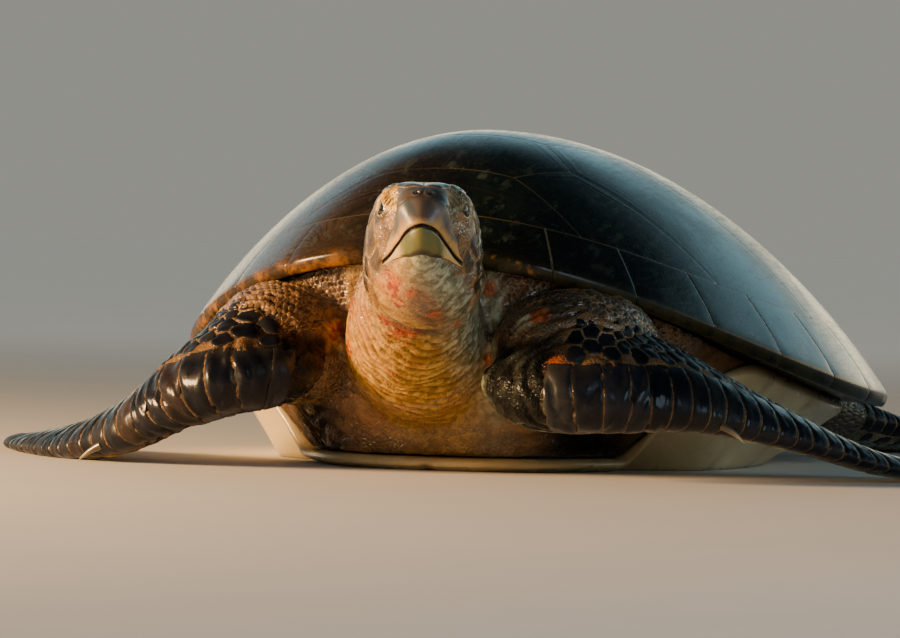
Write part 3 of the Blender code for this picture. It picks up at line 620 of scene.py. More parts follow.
vertebral_outlines, costal_outlines = inner_scutes()
vertebral = scute_piece("scutes_vertebral", vertebral_outlines, 0.0, 0.05)
costal = scute_piece("scutes_costal", costal_outlines, -0.08, 0.03)
dome_horn, rim_horn = shell_horn("wet_shell_horn"), shell_horn("wet_rim_horn", True)
suture, shader, place = surface("pale_suture")
tone = blend(grain(place, 60.0, 3.0), (0.022, 0.018, 0.012), (0.085, 0.066, 0.036))
feed(shader, Base_Color=tone, Roughness=0.35)
relief(shader, grain(place, 220.0, 2.0), 0.3, 0.0008)
marginals, bone = marginal_piece("scutes_marginal"), bone_piece("carapace_bone")
for piece, finish in ((vertebral, dome_horn), (costal, dome_horn), (marginals, rim_horn), (bone, suture)):
    fit(piece, finish, "shell", "carapace")

# ---- the plastron ---------------------------------------------------------------------
# The shell's floor: pale yellow plates of horn on bone, in pairs along a middle suture,
# tied to the marginals by bridges. It carries the body, so its underside is level.
PLASTRON_THICK, GAP = 0.014, 0.0004
PLASTRON_SHARES = (0.5, 0.78, 0.955, 1.0)
PLASTRON_SUTURES_Y = (-0.335, -0.215, -0.055, 0.075, 0.215, 0.315)
BRIDGE_SUTURE_X, BRIDGE_SUTURES_Y = 0.205, (-0.17, -0.06, 0.05, 0.15)
SEAM_HALF, SEAM_DEPTH = 0.0025, 0.0012
ROUNDED_TOP, ROUNDED_FOOT = 0.004, 0.005   # how far the free edge is rounded above and below


def soft(value, low, high):
    """0 below low and 1 above high, with a smooth passage."""
    share = np.clip((value - low) / (high - low), 0.0, 1.0)
    return share * share * (3 - 2 * share)


def band(value, low, high, end, gone):
    """1 between two heights and 0 outside them: up from low to high, down from end to gone."""
    return soft(value, low, high) * (1 - soft(value, end, gone))


def plastron_edge(angle):
    """Disc radius of the plastron's edge, and how much of a bridge it is, 0 to 1: round in
    front, narrower behind, and out to the marginals between 58 and 124 degrees."""
    degrees = np.abs(np.degrees(angle))
    bridge = soft(np.clip((degrees - 48) / 20, 0, 1) * np.clip((134 - degrees) / 20, 0, 1), 0.0, 1.0)
    swing = np.sin(np.minimum(np.minimum(degrees, 180 - degrees), 60) / 60 * math.pi / 2) ** 2
    lobe = np.where(degrees < 90, 0.79, 0.78) - 0.16 * swing
    return lobe * (1 - bridge) + 0.88 * bridge, bridge


def plastron_top(angle, share):
    """Height of the plastron's upper side: level, rising over the bridges to the shell."""
    reach, bridge = plastron_edge(angle)
    steep = np.clip((share - PLASTRON_SHARES[1]) / (1 - PLASTRON_SHARES[1]), 0, 1)
    meet = under(angle, reach) - GAP
    return PLASTRON_THICK + (meet - PLASTRON_THICK) * steep * bridge


angles = np.radians(np.arange(-180, 180, 1.5))
reach, bridge = plastron_edge(angles)
rings = [plan(angles, reach * s, plastron_top(angles, s)) for s in (0.02, 0.5, 0.78, 0.9, 0.955)]
rings.append(plan(angles, reach, plastron_top(angles, 1.0) - ROUNDED_TOP * (1 - bridge)))
seams_of = [np.zeros(len(angles))] * len(rings)
for share in np.concatenate([[1.0, 0.985, 0.965], np.linspace(0.945, 0.015, 56)]):
    low = np.maximum(plastron_top(angles, share) - PLASTRON_THICK
                     + ROUNDED_FOOT * (1 - bridge) * np.clip((share - 0.93) / 0.07, 0, 1), 0.0)
    ring = plan(angles, reach * share, low)
    x, y = np.abs(ring[:, 0]), ring[:, 1] - SHELL_AT[1]
    wave = 0.006 * np.sin(x * 40)
    across = np.min([np.abs(y - v - wave) for v in PLASTRON_SUTURES_Y], axis=0) + (x > BRIDGE_SUTURE_X)
    on_bridge = np.min([np.abs(y - v) for v in BRIDGE_SUTURES_Y], axis=0) + (x < BRIDGE_SUTURE_X)
    along_it = np.abs(x - BRIDGE_SUTURE_X) + (np.abs(y + 0.01) > 0.2)
    away = np.min([across, x, along_it, on_bridge], axis=0)
    seam = bump(away, SEAM_HALF)
    ring[:, 2] += SEAM_DEPTH * seam
    rings.append(ring)
    seams_of.append(seam)
plastron = put_in("plastron_plates", np.stack(rings), closed_faces(len(rings), len(angles)),
                  suture=np.stack(seams_of))
plate, shader, place = surface("plastron_horn")
tone = blend(step(grain(place, 6.0, 4.0), 0.40, 0.68), (0.62, 0.50, 0.27), (0.44, 0.33, 0.16))
tone = blend(step(grain(place, 22.0, 5.0, 0.7), 0.62, 0.76), tone, (0.16, 0.12, 0.07))
tone = blend(held("suture"), tone, (0.22, 0.15, 0.07), 0.7)
film, _ = moisten(shader, place, 8.0, 0.45, 0.2)
feed(shader, Base_Color=tone, Coat_Weight=times(film, 0.5))
relief(shader, grain(place, 70.0, 4.0, 0.6, (1.0, 0.35, 1.0)), 0.3, 0.001)
fit(plastron, plate, "plastron", "plastron")

# ---- the skin -------------------------------------------------------------------------
# One loose, leathery skin over head, neck, shoulders, flippers, hind legs and tail, in
# folds where it bends. Forms lofted over the bones are fused, eased together and folded.
COAT = 0.0013               # depth of the scales that lie on the skin
HEAD_YAW, HEAD_PITCH = math.radians(16.0), math.radians(22.0)
HEAD_BASE = np.array([0.0375, -0.569, 0.206])
FORWARD = np.array([math.sin(HEAD_YAW) * math.cos(HEAD_PITCH),
                    -math.cos(HEAD_YAW) * math.cos(HEAD_PITCH), math.sin(HEAD_PITCH)])
ASIDE = np.array([math.cos(HEAD_YAW), math.sin(HEAD_YAW), 0.0])
UPWARD = np.cross(FORWARD, ASIDE)
# along, half width, top, underside, height of the widest place, squareness of the crown
HEAD_ROWS = (
    (0.000, 0.0600, 0.0480, -0.0620, -0.006, 0.90),
    (0.030, 0.0625, 0.0565, -0.0645, -0.006, 0.80),
    (0.060, 0.0618, 0.0600, -0.0630, -0.004, 0.66),
    (0.090, 0.0568, 0.0600, -0.0590, 0.000, 0.55),
    (0.120, 0.0485, 0.0555, -0.0545, 0.003, 0.45),
    (0.145, 0.0410, 0.0470, -0.0505, 0.002, 0.52),
    (0.165, 0.0340, 0.0368, -0.0450, -0.002, 0.66),
    (0.179, 0.0268, 0.0270, -0.0370, -0.007, 0.78),
    (0.187, 0.0195, 0.0180, -0.0280, -0.010, 0.84),
    (0.190, 0.0110, 0.0050, -0.0225, -0.012, 0.95),
)
# how much of its width the snout keeps at the mouth, by place along the head
PINCH_ROWS = ((0.085, 1.0), (0.104, 0.88), (0.121, 0.80), (0.149, 0.685), (0.180, 0.60), (0.190, 0.60))
# x, y, z, half width, half depth and tilt in degrees, from inside the body outwards
NECK_ROWS = (
    (-0.006, -0.300, 0.120, 0.080, 0.080, 0), (-0.006, -0.380, 0.122, 0.084, 0.084, 0),
    (-0.003, -0.440, 0.132, 0.081, 0.080, 0), (0.007, -0.495, 0.156, 0.073, 0.072, 0),
    (0.025, -0.543, 0.186, 0.065, 0.062, 0),
)
ARM_ROWS = (
    (0.145, -0.300, 0.120, 0.070, 0.060, 0), (0.155, -0.370, 0.130, 0.086, 0.068, 0),
    (0.163, -0.430, 0.132, 0.090, 0.069, 0), (0.168, -0.478, 0.126, 0.080, 0.062, 0),
    (0.168, -0.515, 0.116, 0.057, 0.045, 0), (0.166, -0.533, 0.110, 0.024, 0.020, 0),
)
FLIPPER_ROWS = (
    (0.108, -0.488, 0.106, 0.028, 0.022, 55), (0.126, -0.508, 0.106, 0.050, 0.034, 55),
    (0.172, -0.528, 0.108, 0.067, 0.038, 54), (0.228, -0.512, 0.101, 0.071, 0.034, 47),
    (0.288, -0.464, 0.083, 0.077, 0.027, 33), (0.360, -0.392, 0.052, 0.080, 0.019, 19),
    (0.440, -0.305, 0.0225, 0.069, 0.0125, 10), (0.505, -0.222, 0.0085, 0.047, 0.0095, 4),
    (0.540, -0.158, 0.0065, 0.026, 0.0080, 0), (0.552, -0.128, 0.0060, 0.008, 0.0065, 0),
)
FLIPPER_LIFT = {1: (0, 0, 0, 0.008, 0.018, 0.016, 0.004, 0, 0, 0),
                -1: (0.004, 0.008, 0.008, -0.005, -0.024, -0.020, -0.005, 0, 0, 0)}
ARM_SLIM = {1: 1.0, -1: 0.9}
THIGH_ROWS = (
    (0.125, 0.300, 0.068, 0.074, 0.050, 0), (0.160, 0.365, 0.062, 0.076, 0.048, 0),
    (0.198, 0.420, 0.050, 0.070, 0.040, -6), (0.228, 0.465, 0.037, 0.064, 0.030, -10),
)
HIND_FLIPPER_ROWS = (
    THIGH_ROWS[-1], (0.256, 0.512, 0.025, 0.069, 0.0220, -8), (0.280, 0.565, 0.0155, 0.075, 0.0160, -4),
    (0.294, 0.618, 0.0095, 0.066, 0.0118, 0), (0.298, 0.655, 0.0070, 0.040, 0.0090, 0),
    (0.298, 0.668, 0.0062, 0.016, 0.0070, 0),
)
TAIL_ROWS = (
    (0.0, 0.300, 0.050, 0.056, 0.042, 0), (0.0, 0.400, 0.038, 0.044, 0.034, 0),
    (0.0, 0.475, 0.024, 0.026, 0.023, 0), (0.0, 0.525, 0.014, 0.013, 0.013, 0),
    (0.0, 0.542, 0.010, 0.005, 0.005, 0),
)
BLADE_LEAD, FOOT_LEAD = 0.42, 0.21   # how much thicker a blade is along its leading edge


def eased(rows, count):
    """Catmull-Rom curve through the rows of a table, with `count` rows evenly along it."""
    table = np.asarray(rows, float)
    ends = np.vstack([2 * table[0] - table[1], table, 2 * table[-1] - table[-2]])
    steps = np.linalg.norm(np.diff(table[:, :3], axis=0), axis=1)
    knots = np.concatenate([[0.0], np.cumsum(steps)])
    along = np.linspace(0.0, knots[-1], count)
    i = np.clip(np.searchsorted(knots, along, side="right") - 1, 0, len(table) - 2)
    w = ((along - knots[i]) / steps[i])[:, None]
    a, b, c, d = ends[i], ends[i + 1], ends[i + 2], ends[i + 3]
    return 0.5 * (2 * b + (c - a) * w + (2 * a - 5 * b + 4 * c - d) * w**2
                  + (3 * b - a - 3 * c + d) * w**3)


def turns(count):
    """Evenly spaced angles round a circle."""
    return np.arange(count) / count * 2 * math.pi


def limb(rows, count, sides, lead=0.0, grow=0.0, side=1):
    """Rings along a limb: ellipses square to its line, turned by the tilt, thicker on the
    leading side by `lead`, larger by `grow`; side -1 gives the right limb."""
    s = eased(rows, count)
    tangent = each_unit(np.gradient(s[:, :3], axis=0))
    across = each_unit(np.cross(SKYWARD, tangent))
    up = np.cross(tangent, across)
    tilt = np.radians(s[:, 5])[:, None]
    width = across * np.cos(tilt) + up * np.sin(tilt)
    depth = up * np.cos(tilt) - across * np.sin(tilt)
    angle = turns(sides)
    w = np.cos(angle) * (s[:, 3:4] + grow)
    d = np.sin(angle) * (1 - lead * np.cos(angle)) * (s[:, 4:5] + grow)
    rings = s[:, None, :3] + w[..., None] * width[:, None] + d[..., None] * depth[:, None]
    rings[..., 0] *= side
    return rings + SHELL_AT


def head_place(along, aside, above):
    """The model's point for a place on the head's own axes."""
    along, aside, above = (np.asarray(v, float)[..., None] for v in (along, aside, above))
    return HEAD_BASE + SHELL_AT + along * FORWARD + aside * ASIDE + above * UPWARD


def head_pair(spot, side):
    """The model's point for the left or the right one of two places alike on the head."""
    return head_place(spot[0], spot[1] * side, spot[2])


def on_head(points):
    """The head's own coordinates of the model's points: along, aside and above."""
    off = points - HEAD_BASE - SHELL_AT
    return off @ FORWARD, off @ ASIDE, off @ UPWARD


HEAD_FINE = eased(HEAD_ROWS, 400)
LOW_SQUARENESS = 0.9        # of the head's sections below their widest place


def head_section(along):
    """Half width, top, underside, widest height and squareness of the head at a station."""
    return [np.interp(along, HEAD_FINE[:, 0], HEAD_FINE[:, k]) for k in range(1, 6)]


def pinch(along, above):
    """Share of its width that the snout keeps: less towards the mouth, and less between the
    eyes and the nose, so that the eyes stand out at the front."""
    table = np.array(PINCH_ROWS)
    share = np.clip((0.004 - above) / 0.027, 0, 1)
    waist = 0.29 * np.exp(-(((along - 0.155) / 0.013) ** 2) - ((above - 0.014) / 0.022) ** 2)
    return 1 - waist - (1 - np.interp(along, table[:, 0], table[:, 1])) * share**2 * (3 - 2 * share)


def head_surface(along, turn, lift=0.0):
    """A point on the head. turn is the angle round it in radians from its left side over the
    crown; each section is a superellipse, squarer above than below."""
    wide, top, low, middle, square = head_section(along)
    c, s = np.cos(turn), np.sin(turn)
    power = np.where(s > 0, square, LOW_SQUARENESS)
    aside = (wide + lift) * np.sign(c) * np.abs(c) ** power
    rise = np.where(s > 0, top - middle, middle - low) + lift
    above = middle + rise * np.sign(s) * np.abs(s) ** power
    return head_place(along, aside * pinch(along, above), above)


def flipper_rows(side):
    """The fore flipper's table on one side, with that wrist's own lift."""
    return [(x, y, z + up, *rest) for (x, y, z, *rest), up in zip(FLIPPER_ROWS, FLIPPER_LIFT[side])]


def arm_rows(side):
    """The shoulder's table on one side; the right one is held in."""
    slim = ARM_SLIM[side]
    return [(x - 0.09 * (1 - slim), y, z, wide * slim, *rest) for x, y, z, wide, *rest in ARM_ROWS]


def waves(points, size, seed):
    """Smooth wandering values of about -1 to 1: a sum of sines in scattered directions."""
    pick = np.random.default_rng(seed)
    total = 0.0
    for k in range(7):
        way = pick.normal(size=3)
        way *= 2 * math.pi / (np.linalg.norm(way) * size * pick.uniform(0.55, 1.6))
        total = total + np.sin(points @ way + pick.uniform(0, 6.3))
    return total / 3.2


def folds(distance, wander, spacing, sway, depth):
    """Rounded rolls of skin with narrow creases between them, one for each spacing; the
    creases sway by a share of it."""
    phase = distance / spacing + sway * wander
    return depth * (np.abs(np.sin(math.pi * phase)) ** CREASE_SHARPNESS - 1.0)


def near(points, centre, radius):
    """A soft ball: 1 at the centre, fading to nothing over about the radius."""
    off = (points - np.asarray(centre)) / np.asarray(radius)
    return np.exp(-(off**2).sum(-1) * 1.6)


def trunk_rings():
    """The flesh between carapace and plastron, bulging at the shell's open corners."""
    reach, _ = plastron_edge(angles)
    degrees = np.abs(np.degrees(angles))
    open_here = soft(60 - degrees, 0, 14) + 0.5 * soft(degrees, 128, 144)
    wide = UNDER_INNER + 0.012 + 0.085 * open_here
    inset = COAT + GAP
    high = under(angles, wide) - inset
    low = plastron_top(angles, 0.955) + inset
    middle = plan(angles, (wide + reach * 0.955) / 2 + 0.03 * open_here - inset * 2, (high + low) / 2)
    top = [plan(angles, r, under(angles, r) - inset) for r in (0.02, 0.5, UNDER_INNER)]
    bottom = [plan(angles, reach * s, plastron_top(angles, s) + inset)
              for s in (0.955, 0.78, 0.5, 0.02)]
    return np.stack([*top, plan(angles, wide - inset * 2, high), middle, *bottom])


HEAD_SIDES = 72


def head_form():
    """Rings of the skin's head, a little inside the scales, with a rounded snout."""
    nose = 0.18 + 0.0085 * np.sin(np.linspace(0.1, 1.5, 10))
    along = np.concatenate([np.linspace(0.0, 0.18, 46), nose])
    return head_surface(along[:, None], turns(HEAD_SIDES)[None], -COAT)


def ball(rows, columns, gap):
    """A ball of radius 1 as rings round its third axis, a small gap left open at its poles."""
    polar, turn = np.linspace(gap, math.pi - gap, rows)[:, None], turns(columns)
    return np.stack([np.sin(polar) * np.cos(turn), np.sin(polar) * np.sin(turn),
                     np.cos(polar) * np.ones(columns)], -1)


EYE_RADIUS, EYE_AT = 0.0165, (0.127, 0.0290, 0.022)
EYE_LOOK = (0.38, 0.91, 0.02)            # the way that an eye looks, on the head's axes
BROW_AT = (EYE_AT[0] - 0.001, EYE_AT[1] - 0.0010, EYE_AT[2] + 0.002)
BROW_SIZE = np.array([[0.0235], [0.0200], [0.0210]])
SIDES = ((1, "left"), (-1, "right"))
pieces_of_form = {
    "trunk": trunk_rings(),
    "neck": np.concatenate([limb(NECK_ROWS, 16, HEAD_SIDES, grow=-COAT), head_form()]),
    "tail": limb(TAIL_ROWS, 24, 36, grow=-COAT),
}
for side, word in SIDES:
    pieces_of_form["arm_" + word] = limb(arm_rows(side), 24, 48, grow=-COAT, side=side)
    pieces_of_form["flipper_" + word] = limb(flipper_rows(side), 90, 48, BLADE_LEAD, -COAT, side)
    pieces_of_form["thigh_" + word] = limb(THIGH_ROWS, 20, 40, grow=-COAT, side=side)
    pieces_of_form["foot_" + word] = limb(HIND_FLIPPER_ROWS, 44, 40, FOOT_LEAD, -COAT, side)
brow = ball(20, 32, 0.02) @ (BROW_SIZE * np.stack([FORWARD, ASIDE, UPWARD]))
for side, word in SIDES:
    pieces_of_form["brow_" + word] = head_pair(BROW_AT, side) + brow
form_points, form_faces, start = [], [], 0
for ring_set in pieces_of_form.values():
    flat = ring_set.reshape(-1, 3)
    form_faces += [part + start for part in facing_out(flat, closed_faces(*ring_set.shape[:2]))]
    form_points.append(flat)
    start += len(flat)
form = put_in("skin_form", np.vstack(form_points), form_faces)
fused = form.modifiers.new("fused", "REMESH")
fused.mode, fused.voxel_size, fused.adaptivity = "VOXEL", 0.003, 0.0


def worked(piece, whole=False):
    """A new mesh of the piece with its modifiers applied, and its named values if whole."""
    bpy.context.view_layer.update()
    graph = bpy.context.evaluated_depsgraph_get()
    return bpy.data.meshes.new_from_object(piece.evaluated_get(graph), preserve_all_data_layers=whole,
                                           depsgraph=graph)


def read(items, key, width, kind=float):
    """What all the items hold under a key, as rows of an array."""
    flat = np.empty(len(items) * width, kind)
    items.foreach_get(key, flat)
    return flat.reshape(-1, width)


def coordinates(mesh):
    """The mesh's points as an array."""
    return read(mesh.vertices, "co", 3)


def edges_of(mesh):
    """The mesh's edges as an array of pairs."""
    return read(mesh.edges, "vertices", 2, np.int32)


def set_points(mesh, points):
    """Moves the mesh's points."""
    mesh.vertices.foreach_set("co", points.ravel())
    mesh.update()


def even_out(points, edges, rounds, share, hold=None):
    """Points moved towards the middle of their neighbours and part of the way back again,
    round after round, so that hollows and corners ease without the form shrinking."""
    first, second = edges[:, 0], edges[:, 1]
    count = np.bincount(np.concatenate([first, second]), minlength=len(points))[:, None]
    for k in range(rounds * 2):
        total = np.stack([np.bincount(first, axis[second], len(points))
                          + np.bincount(second, axis[first], len(points)) for axis in points.T], -1)
        move = (total / count - points) * (share if k % 2 == 0 else -share * 0.94)
        points = points + (move if hold is None else move * hold)
    return points


body = worked(form)
bpy.data.objects.remove(form)
points = even_out(coordinates(body), edges_of(body), 12, 0.6)
set_points(body, points)
SHELL_HIDES = (0.27, 0.35)  # half axes of the part of the flesh that the shell hides


def hidden(points):
    """1 where the shell hides the flesh, an ellipse round the middle; 0 elsewhere."""
    off = (points - SHELL_AT)[:, :2] / SHELL_HIDES
    return np.clip((1.0 - np.hypot(off[:, 0], off[:, 1])) / 0.08, 0.0, 1.0)


# fewer faces where nothing shows, and finer ones over the head
WEIGHT_STEPS, HIDDEN_THINNED = 4, 0.92
skin = shown("skin", body)
weights = hidden(points)
group = skin.vertex_groups.new(name="hidden")
for weight in range(1, WEIGHT_STEPS + 1):
    inside = np.flatnonzero(np.ceil(weights * WEIGHT_STEPS) == weight)
    group.add(inside.tolist(), weight / WEIGHT_STEPS, "REPLACE")
thin = skin.modifiers.new("thinned", "DECIMATE")
thin.ratio, thin.vertex_group = 1.0 - HIDDEN_THINNED * float((weights > 0.5).mean()), "hidden"
body = worked(skin)
bpy.data.objects.remove(skin)

for start, lowest in ((-0.01, -0.10), (0.095, -0.030)):
    along, aside, above = on_head(coordinates(body))
    on_it = (along > start) & (above > lowest) & (np.hypot(aside, above) < 0.085)
    chosen = np.flatnonzero(on_it[edges_of(body)].all(axis=1))
    work = bmesh.new()
    work.from_mesh(body)
    work.edges.ensure_lookup_table()
    bmesh.ops.subdivide_edges(work, edges=[work.edges[k] for k in chosen], cuts=1, use_grid_fill=True)
    work.to_mesh(body)
    work.free()
    body.update()
points = coordinates(body)
along, aside, above = on_head(points)
points = even_out(points, edges_of(body), 3, 0.5, (along > -0.02)[:, None].astype(float))
set_points(body, points)


THROAT = head_place(0.078, 0.0, -0.066)
ELBOW_STRETCH = (0.9, 0.8, 1.15)          # an elbow's folds are ellipsoids round it
ELBOWS = {1: SHELL_AT + (0.205, -0.535, 0.100), -1: SHELL_AT + (-0.200, -0.535, 0.098)}
FULL_CREASE = 0.0026                      # depth at which a crease has its full painted shade
CREASE_SHARPNESS = 0.55                   # the lower, the narrower a crease between its rolls
# folds of skin: from crease to crease, how far they sway as a share of that, and how deep
THROAT_ROLLS, ELBOW_FOLDS = (0.0088, 0.55, FULL_CREASE), (0.0145, 0.5, 0.0056)
HIP_FOLDS = (0.013, 0.4, 0.0022)
CHIN_FOLD_AT, CHIN_FOLD_DEPTH = 0.0615, 0.0030      # its distance from the throat's middle
CRUMPLE = 0.00045                         # height of the fine unevenness all over
POUCH_SWELL, MOUTH_GROOVE, BEAK_SEAT = 0.0045, 0.0030, 0.0018    # out at the throat, in at the mouth
NOSTRIL_AT, NOSTRIL_RADIUS = (0.1855, 0.0067, 0.0190), 0.0024
NOSTRIL_DEPTH, NOSTRIL_RIM = 0.0045, 0.0007
LID_OPENS, PLEAT_HEIGHT = 0.0027, 0.0009  # how far the slit is cut below the eye's surface
EYE_OPEN = (0.66, 0.44)                   # half length and half height of the slit, as sines
LID_REACH = 0.032                         # how far from the eye's middle the lids go
look = unit(np.array(EYE_LOOK))
# the side-view line on which the jaws meet, from the tip back to the corner: along and above;
# how far it rises in the middle of the front, over what bearing from the beak's pivot, how
# far it arches to each side, and where along the head the pivot lies
MOUTH_LINE = ((0.192, -0.0218), (0.170, -0.0226), (0.130, -0.0250), (0.100, -0.0266))
MOUTH_PEAK, PEAK_SPREAD, MOUTH_ARCH, BEAK_PIVOT = 0.0036, 0.13, 0.0014, 0.088


def beak_line(line, along):
    """Height of one of the beak's side-view lines at a station."""
    table = np.array(line)[::-1]
    return np.interp(along, table[:, 0], table[:, 1])


def mouth_peak(swing):
    """How far the line of the mouth rises at a bearing: a small point in the middle and an
    arch to each side of it."""
    arch = MOUTH_ARCH * bump(np.abs(swing) - 0.38, 0.22)
    return MOUTH_PEAK * bump(np.abs(swing), PEAK_SPREAD, 1.3) + arch


def eye_axes(side):
    """An eye's middle, and its axes in the model: forward along the slit, up and out."""
    out = look[0] * FORWARD + look[1] * side * ASIDE + look[2] * UPWARD
    fore = FORWARD * 0.90 - UPWARD * 0.44
    fore = unit(fore - out * (fore @ out))
    return head_pair(EYE_AT, side), fore, np.cross(out, fore) * side, out


def skin_relief(points):
    """How far the skin lies under its even form: rolls round the throat pouch, arcs of folds
    round each elbow, creases on the neck and a fine crumple; and how deep in a crease, which
    sets how much painted shade the crease gets."""
    off = points - SHELL_AT
    wander = waves(points, 0.055, 3)
    from_throat = np.linalg.norm((points - THROAT) * (1.0, 0.75, 1.0), axis=1)
    along, aside, above = on_head(points)
    front = soft(-off[:, 1], 0.40, 0.46)
    within = 1 - soft(np.abs(off[:, 0]), 0.10, 0.135)
    neck = soft(from_throat, 0.058, 0.070) * within
    neck *= (1 - soft(off[:, 2], 0.20, 0.26)) * (1 - soft(along, 0.10, 0.12)) * front
    rolls = neck * folds(from_throat, wander, *THROAT_ROLLS)
    chin_fold = bump(from_throat - CHIN_FOLD_AT - 0.004 * wander, 0.0035)
    chin_fold *= soft(-along, -0.075, -0.055)
    total = rolls - CHIN_FOLD_DEPTH * chin_fold * within * front
    for side, elbow in ELBOWS.items():
        away = np.linalg.norm((points - elbow) * ELBOW_STRETCH, axis=1)
        here = band(away, 0.008, 0.030, 0.17, 0.22) * band(off[:, 0] * side, 0.075, 0.11, 0.27, 0.31)
        total = total + here * folds(away, wander, *ELBOW_FOLDS)
    for side in (1, -1):
        hip = SHELL_AT + (0.17 * side, 0.46, 0.045)
        away = np.linalg.norm(points - hip, axis=1)
        here = (1 - soft(away, 0.10, 0.15)) * soft(off[:, 1], 0.30, 0.34)
        slant = off[:, 1] - 0.35 * off[:, 0] * side
        total = total + here * folds(slant, wander, *HIP_FOLDS)
    smooth_head = soft(along, 0.0, 0.03)
    crumple = (waves(points, 0.016, 5) - 1.0) * CRUMPLE * (1 - 0.8 * smooth_head)
    return total + crumple, np.clip(-total / FULL_CREASE, 0.0, 1.0)


normals = read(body.vertex_normals, "vector", 3)
fall, crease = skin_relief(points)
pouch = POUCH_SWELL * near(points, THROAT, 0.045)
along, aside, above = on_head(points)
bearing_of = np.arctan2(aside, np.maximum(along - BEAK_PIVOT, 1e-3))
mouth_line = beak_line(MOUTH_LINE, along) + mouth_peak(bearing_of) - 0.30 * np.clip(0.105 - along, 0, 1)
lip = soft(along, 0.088, 0.098)
mouth = lip * bump(above - mouth_line, 0.0030, 4)
fall = fall - MOUTH_GROOVE * lip * bump(above - mouth_line, 0.0026) + pouch
under_beak = soft(along, 0.110, 0.135) * band(above, -0.040, -0.032, 0.006, 0.012)
fall = fall - BEAK_SEAT * under_beak
# painted shade: the groove of the mouth and the nostrils are marked for darkening as shaded recesses
pit_shade = 0.9 * mouth
for side in (1, -1):
    far = np.linalg.norm(points - head_pair(NOSTRIL_AT, side), axis=1)
    nostril = bump(far, NOSTRIL_RADIUS, 4)
    pit_shade = np.maximum(pit_shade, nostril)
    fall = fall - NOSTRIL_DEPTH * nostril + NOSTRIL_RIM * bump(far - 0.0042, 0.0014)
points = points + normals * fall[:, None]
lid, pleat_shade = np.zeros(len(points)), np.zeros(len(points))
for side in (1, -1):
    centre, fore, rise, out = eye_axes(side)
    off = points - centre
    far = np.linalg.norm(off, axis=1)
    p, q, facing = (off @ axis / far for axis in (fore, rise, out))
    arch = np.clip(1 - (p / EYE_OPEN[0]) ** 2, 0.0, 1.0) * EYE_OPEN[1] + 1e-3
    opening = 1 - soft(np.hypot(p / EYE_OPEN[0], np.where(q > 0, q, q * 1.2) / arch * 0.8), 0.75, 1.05)
    opening = opening * (facing > 0.3) * (far < LID_REACH)
    on_lid = (1 - soft(far, 0.026, LID_REACH)) * soft(facing, 0.02, 0.22)
    on_lid *= soft(off[:, 2] / far, -0.12, 0.04)
    lid = np.maximum(lid, on_lid)
    run = np.where(q > 0, np.cos(p * 26 + 3 * q), np.cos(p * 40)) * on_lid
    off_slit = soft(np.abs(q), 0.16, 0.36)
    # the pleats' troughs, marked for painted shade
    pleat_shade = np.maximum(pleat_shade, soft(-run, 0.15, 0.9) * off_slit)
    pleat = PLEAT_HEIGHT * run * off_slit
    move = opening * (EYE_RADIUS - LID_OPENS - far) + (1 - opening) * pleat
    points = points + off / far[:, None] * move[:, None]
set_points(body, points)

# places of worn or scraped skin that shows orange-red, and how far each one spreads
SCRAPES = (
    ((0.040, -0.681, 0.197), (0.019, 0.028, 0.022), 0.72), ((0.054, -0.682, 0.190), 0.015, 0.66),
    ((0.040, -0.664, 0.180), 0.015, 0.60), ((0.010, -0.601, 0.160), (0.021, 0.022, 0.010), 0.84),
    ((0.024, -0.589, 0.149), (0.024, 0.018, 0.009), 1.00), ((0.071, -0.639, 0.168), 0.0085, 1.30),
    ((0.076, -0.574, 0.157), 0.011, 0.66), ((-0.052, -0.530, 0.176), (0.014, 0.032, 0.022), 0.86),
    ((-0.066, -0.500, 0.128), (0.022, 0.034, 0.028), 0.62), ((-0.085, -0.470, 0.148), 0.022, 0.66),
    ((0.146, -0.510, 0.168), (0.020, 0.022, 0.011), 0.98), ((0.078, -0.459, 0.195), 0.011, 0.98),
    ((0.188, -0.565, 0.121), (0.024, 0.022, 0.013), 0.90), ((0.080, -0.452, 0.117), 0.016, 0.76),
)
PALE_PATCHES = (((0.128, -0.508, 0.167), (0.027, 0.032, 0.017)),
                ((-0.064, -0.510, 0.142), (0.030, 0.040, 0.034)),
                ((-0.086, -0.468, 0.144), (0.020, 0.032, 0.030)))
POUCH_STAIN = ((0.066, -0.648, 0.174), (0.018, 0.060, 0.045))


def markings(points, facing):
    """The turtle's markings at any point, for skin and scales alike: `pale` on the throat,
    chin and undersides, and `rust` where the skin is scraped."""
    off = points - SHELL_AT
    along, aside, above = on_head(points)
    jaw = soft(-above, 0.026, 0.040) * soft(along, -0.03, 0.02)
    jaw *= 1 - soft(np.abs(aside), 0.066, 0.084)
    down = facing @ np.array([0.0, -0.55, -0.83])
    neck = soft(down, -0.25, 0.25) * (1 - soft(np.abs(off[:, 0] - 0.006), 0.078, 0.096))
    neck *= soft(-off[:, 1], 0.40, 0.44) * (1 - soft(along, -0.02, 0.03))
    belly = soft(-facing[:, 2], 0.90, 0.99)
    pale = np.maximum(np.maximum(jaw, neck), belly) + 0.12 * waves(points, 0.03, 9)
    for place, radius in PALE_PATCHES:
        pale = np.clip(np.maximum(pale, 1.4 * near(points, SHELL_AT + place, radius)), 0, 1)
    rust = np.zeros(len(points))
    for place, radius, strength in SCRAPES:
        rust = np.maximum(rust, strength * near(points, SHELL_AT + place, radius))
    return pale, rust


def black_and_shade_of(points):
    """How black the skin is, partly its own black and partly painted shade: on the front of the arms,
    below their folds, and on the blades.
    """
    off = points - SHELL_AT
    below = soft(0.150 - off[:, 2], -0.012, 0.020)
    beside = soft(np.abs(off[:, 0]) + 0.25 * soft(-off[:, 1], 0.48, 0.50), 0.100, 0.140)
    return beside * below * soft(-off[:, 1], 0.05, 0.2)


def kept_in(points):
    """The points, brought in where they leave the model's own box."""
    return np.clip(points, np.array(CAD_BOX[0]) + 0.0002, np.array(CAD_BOX[1]) - 0.0002)


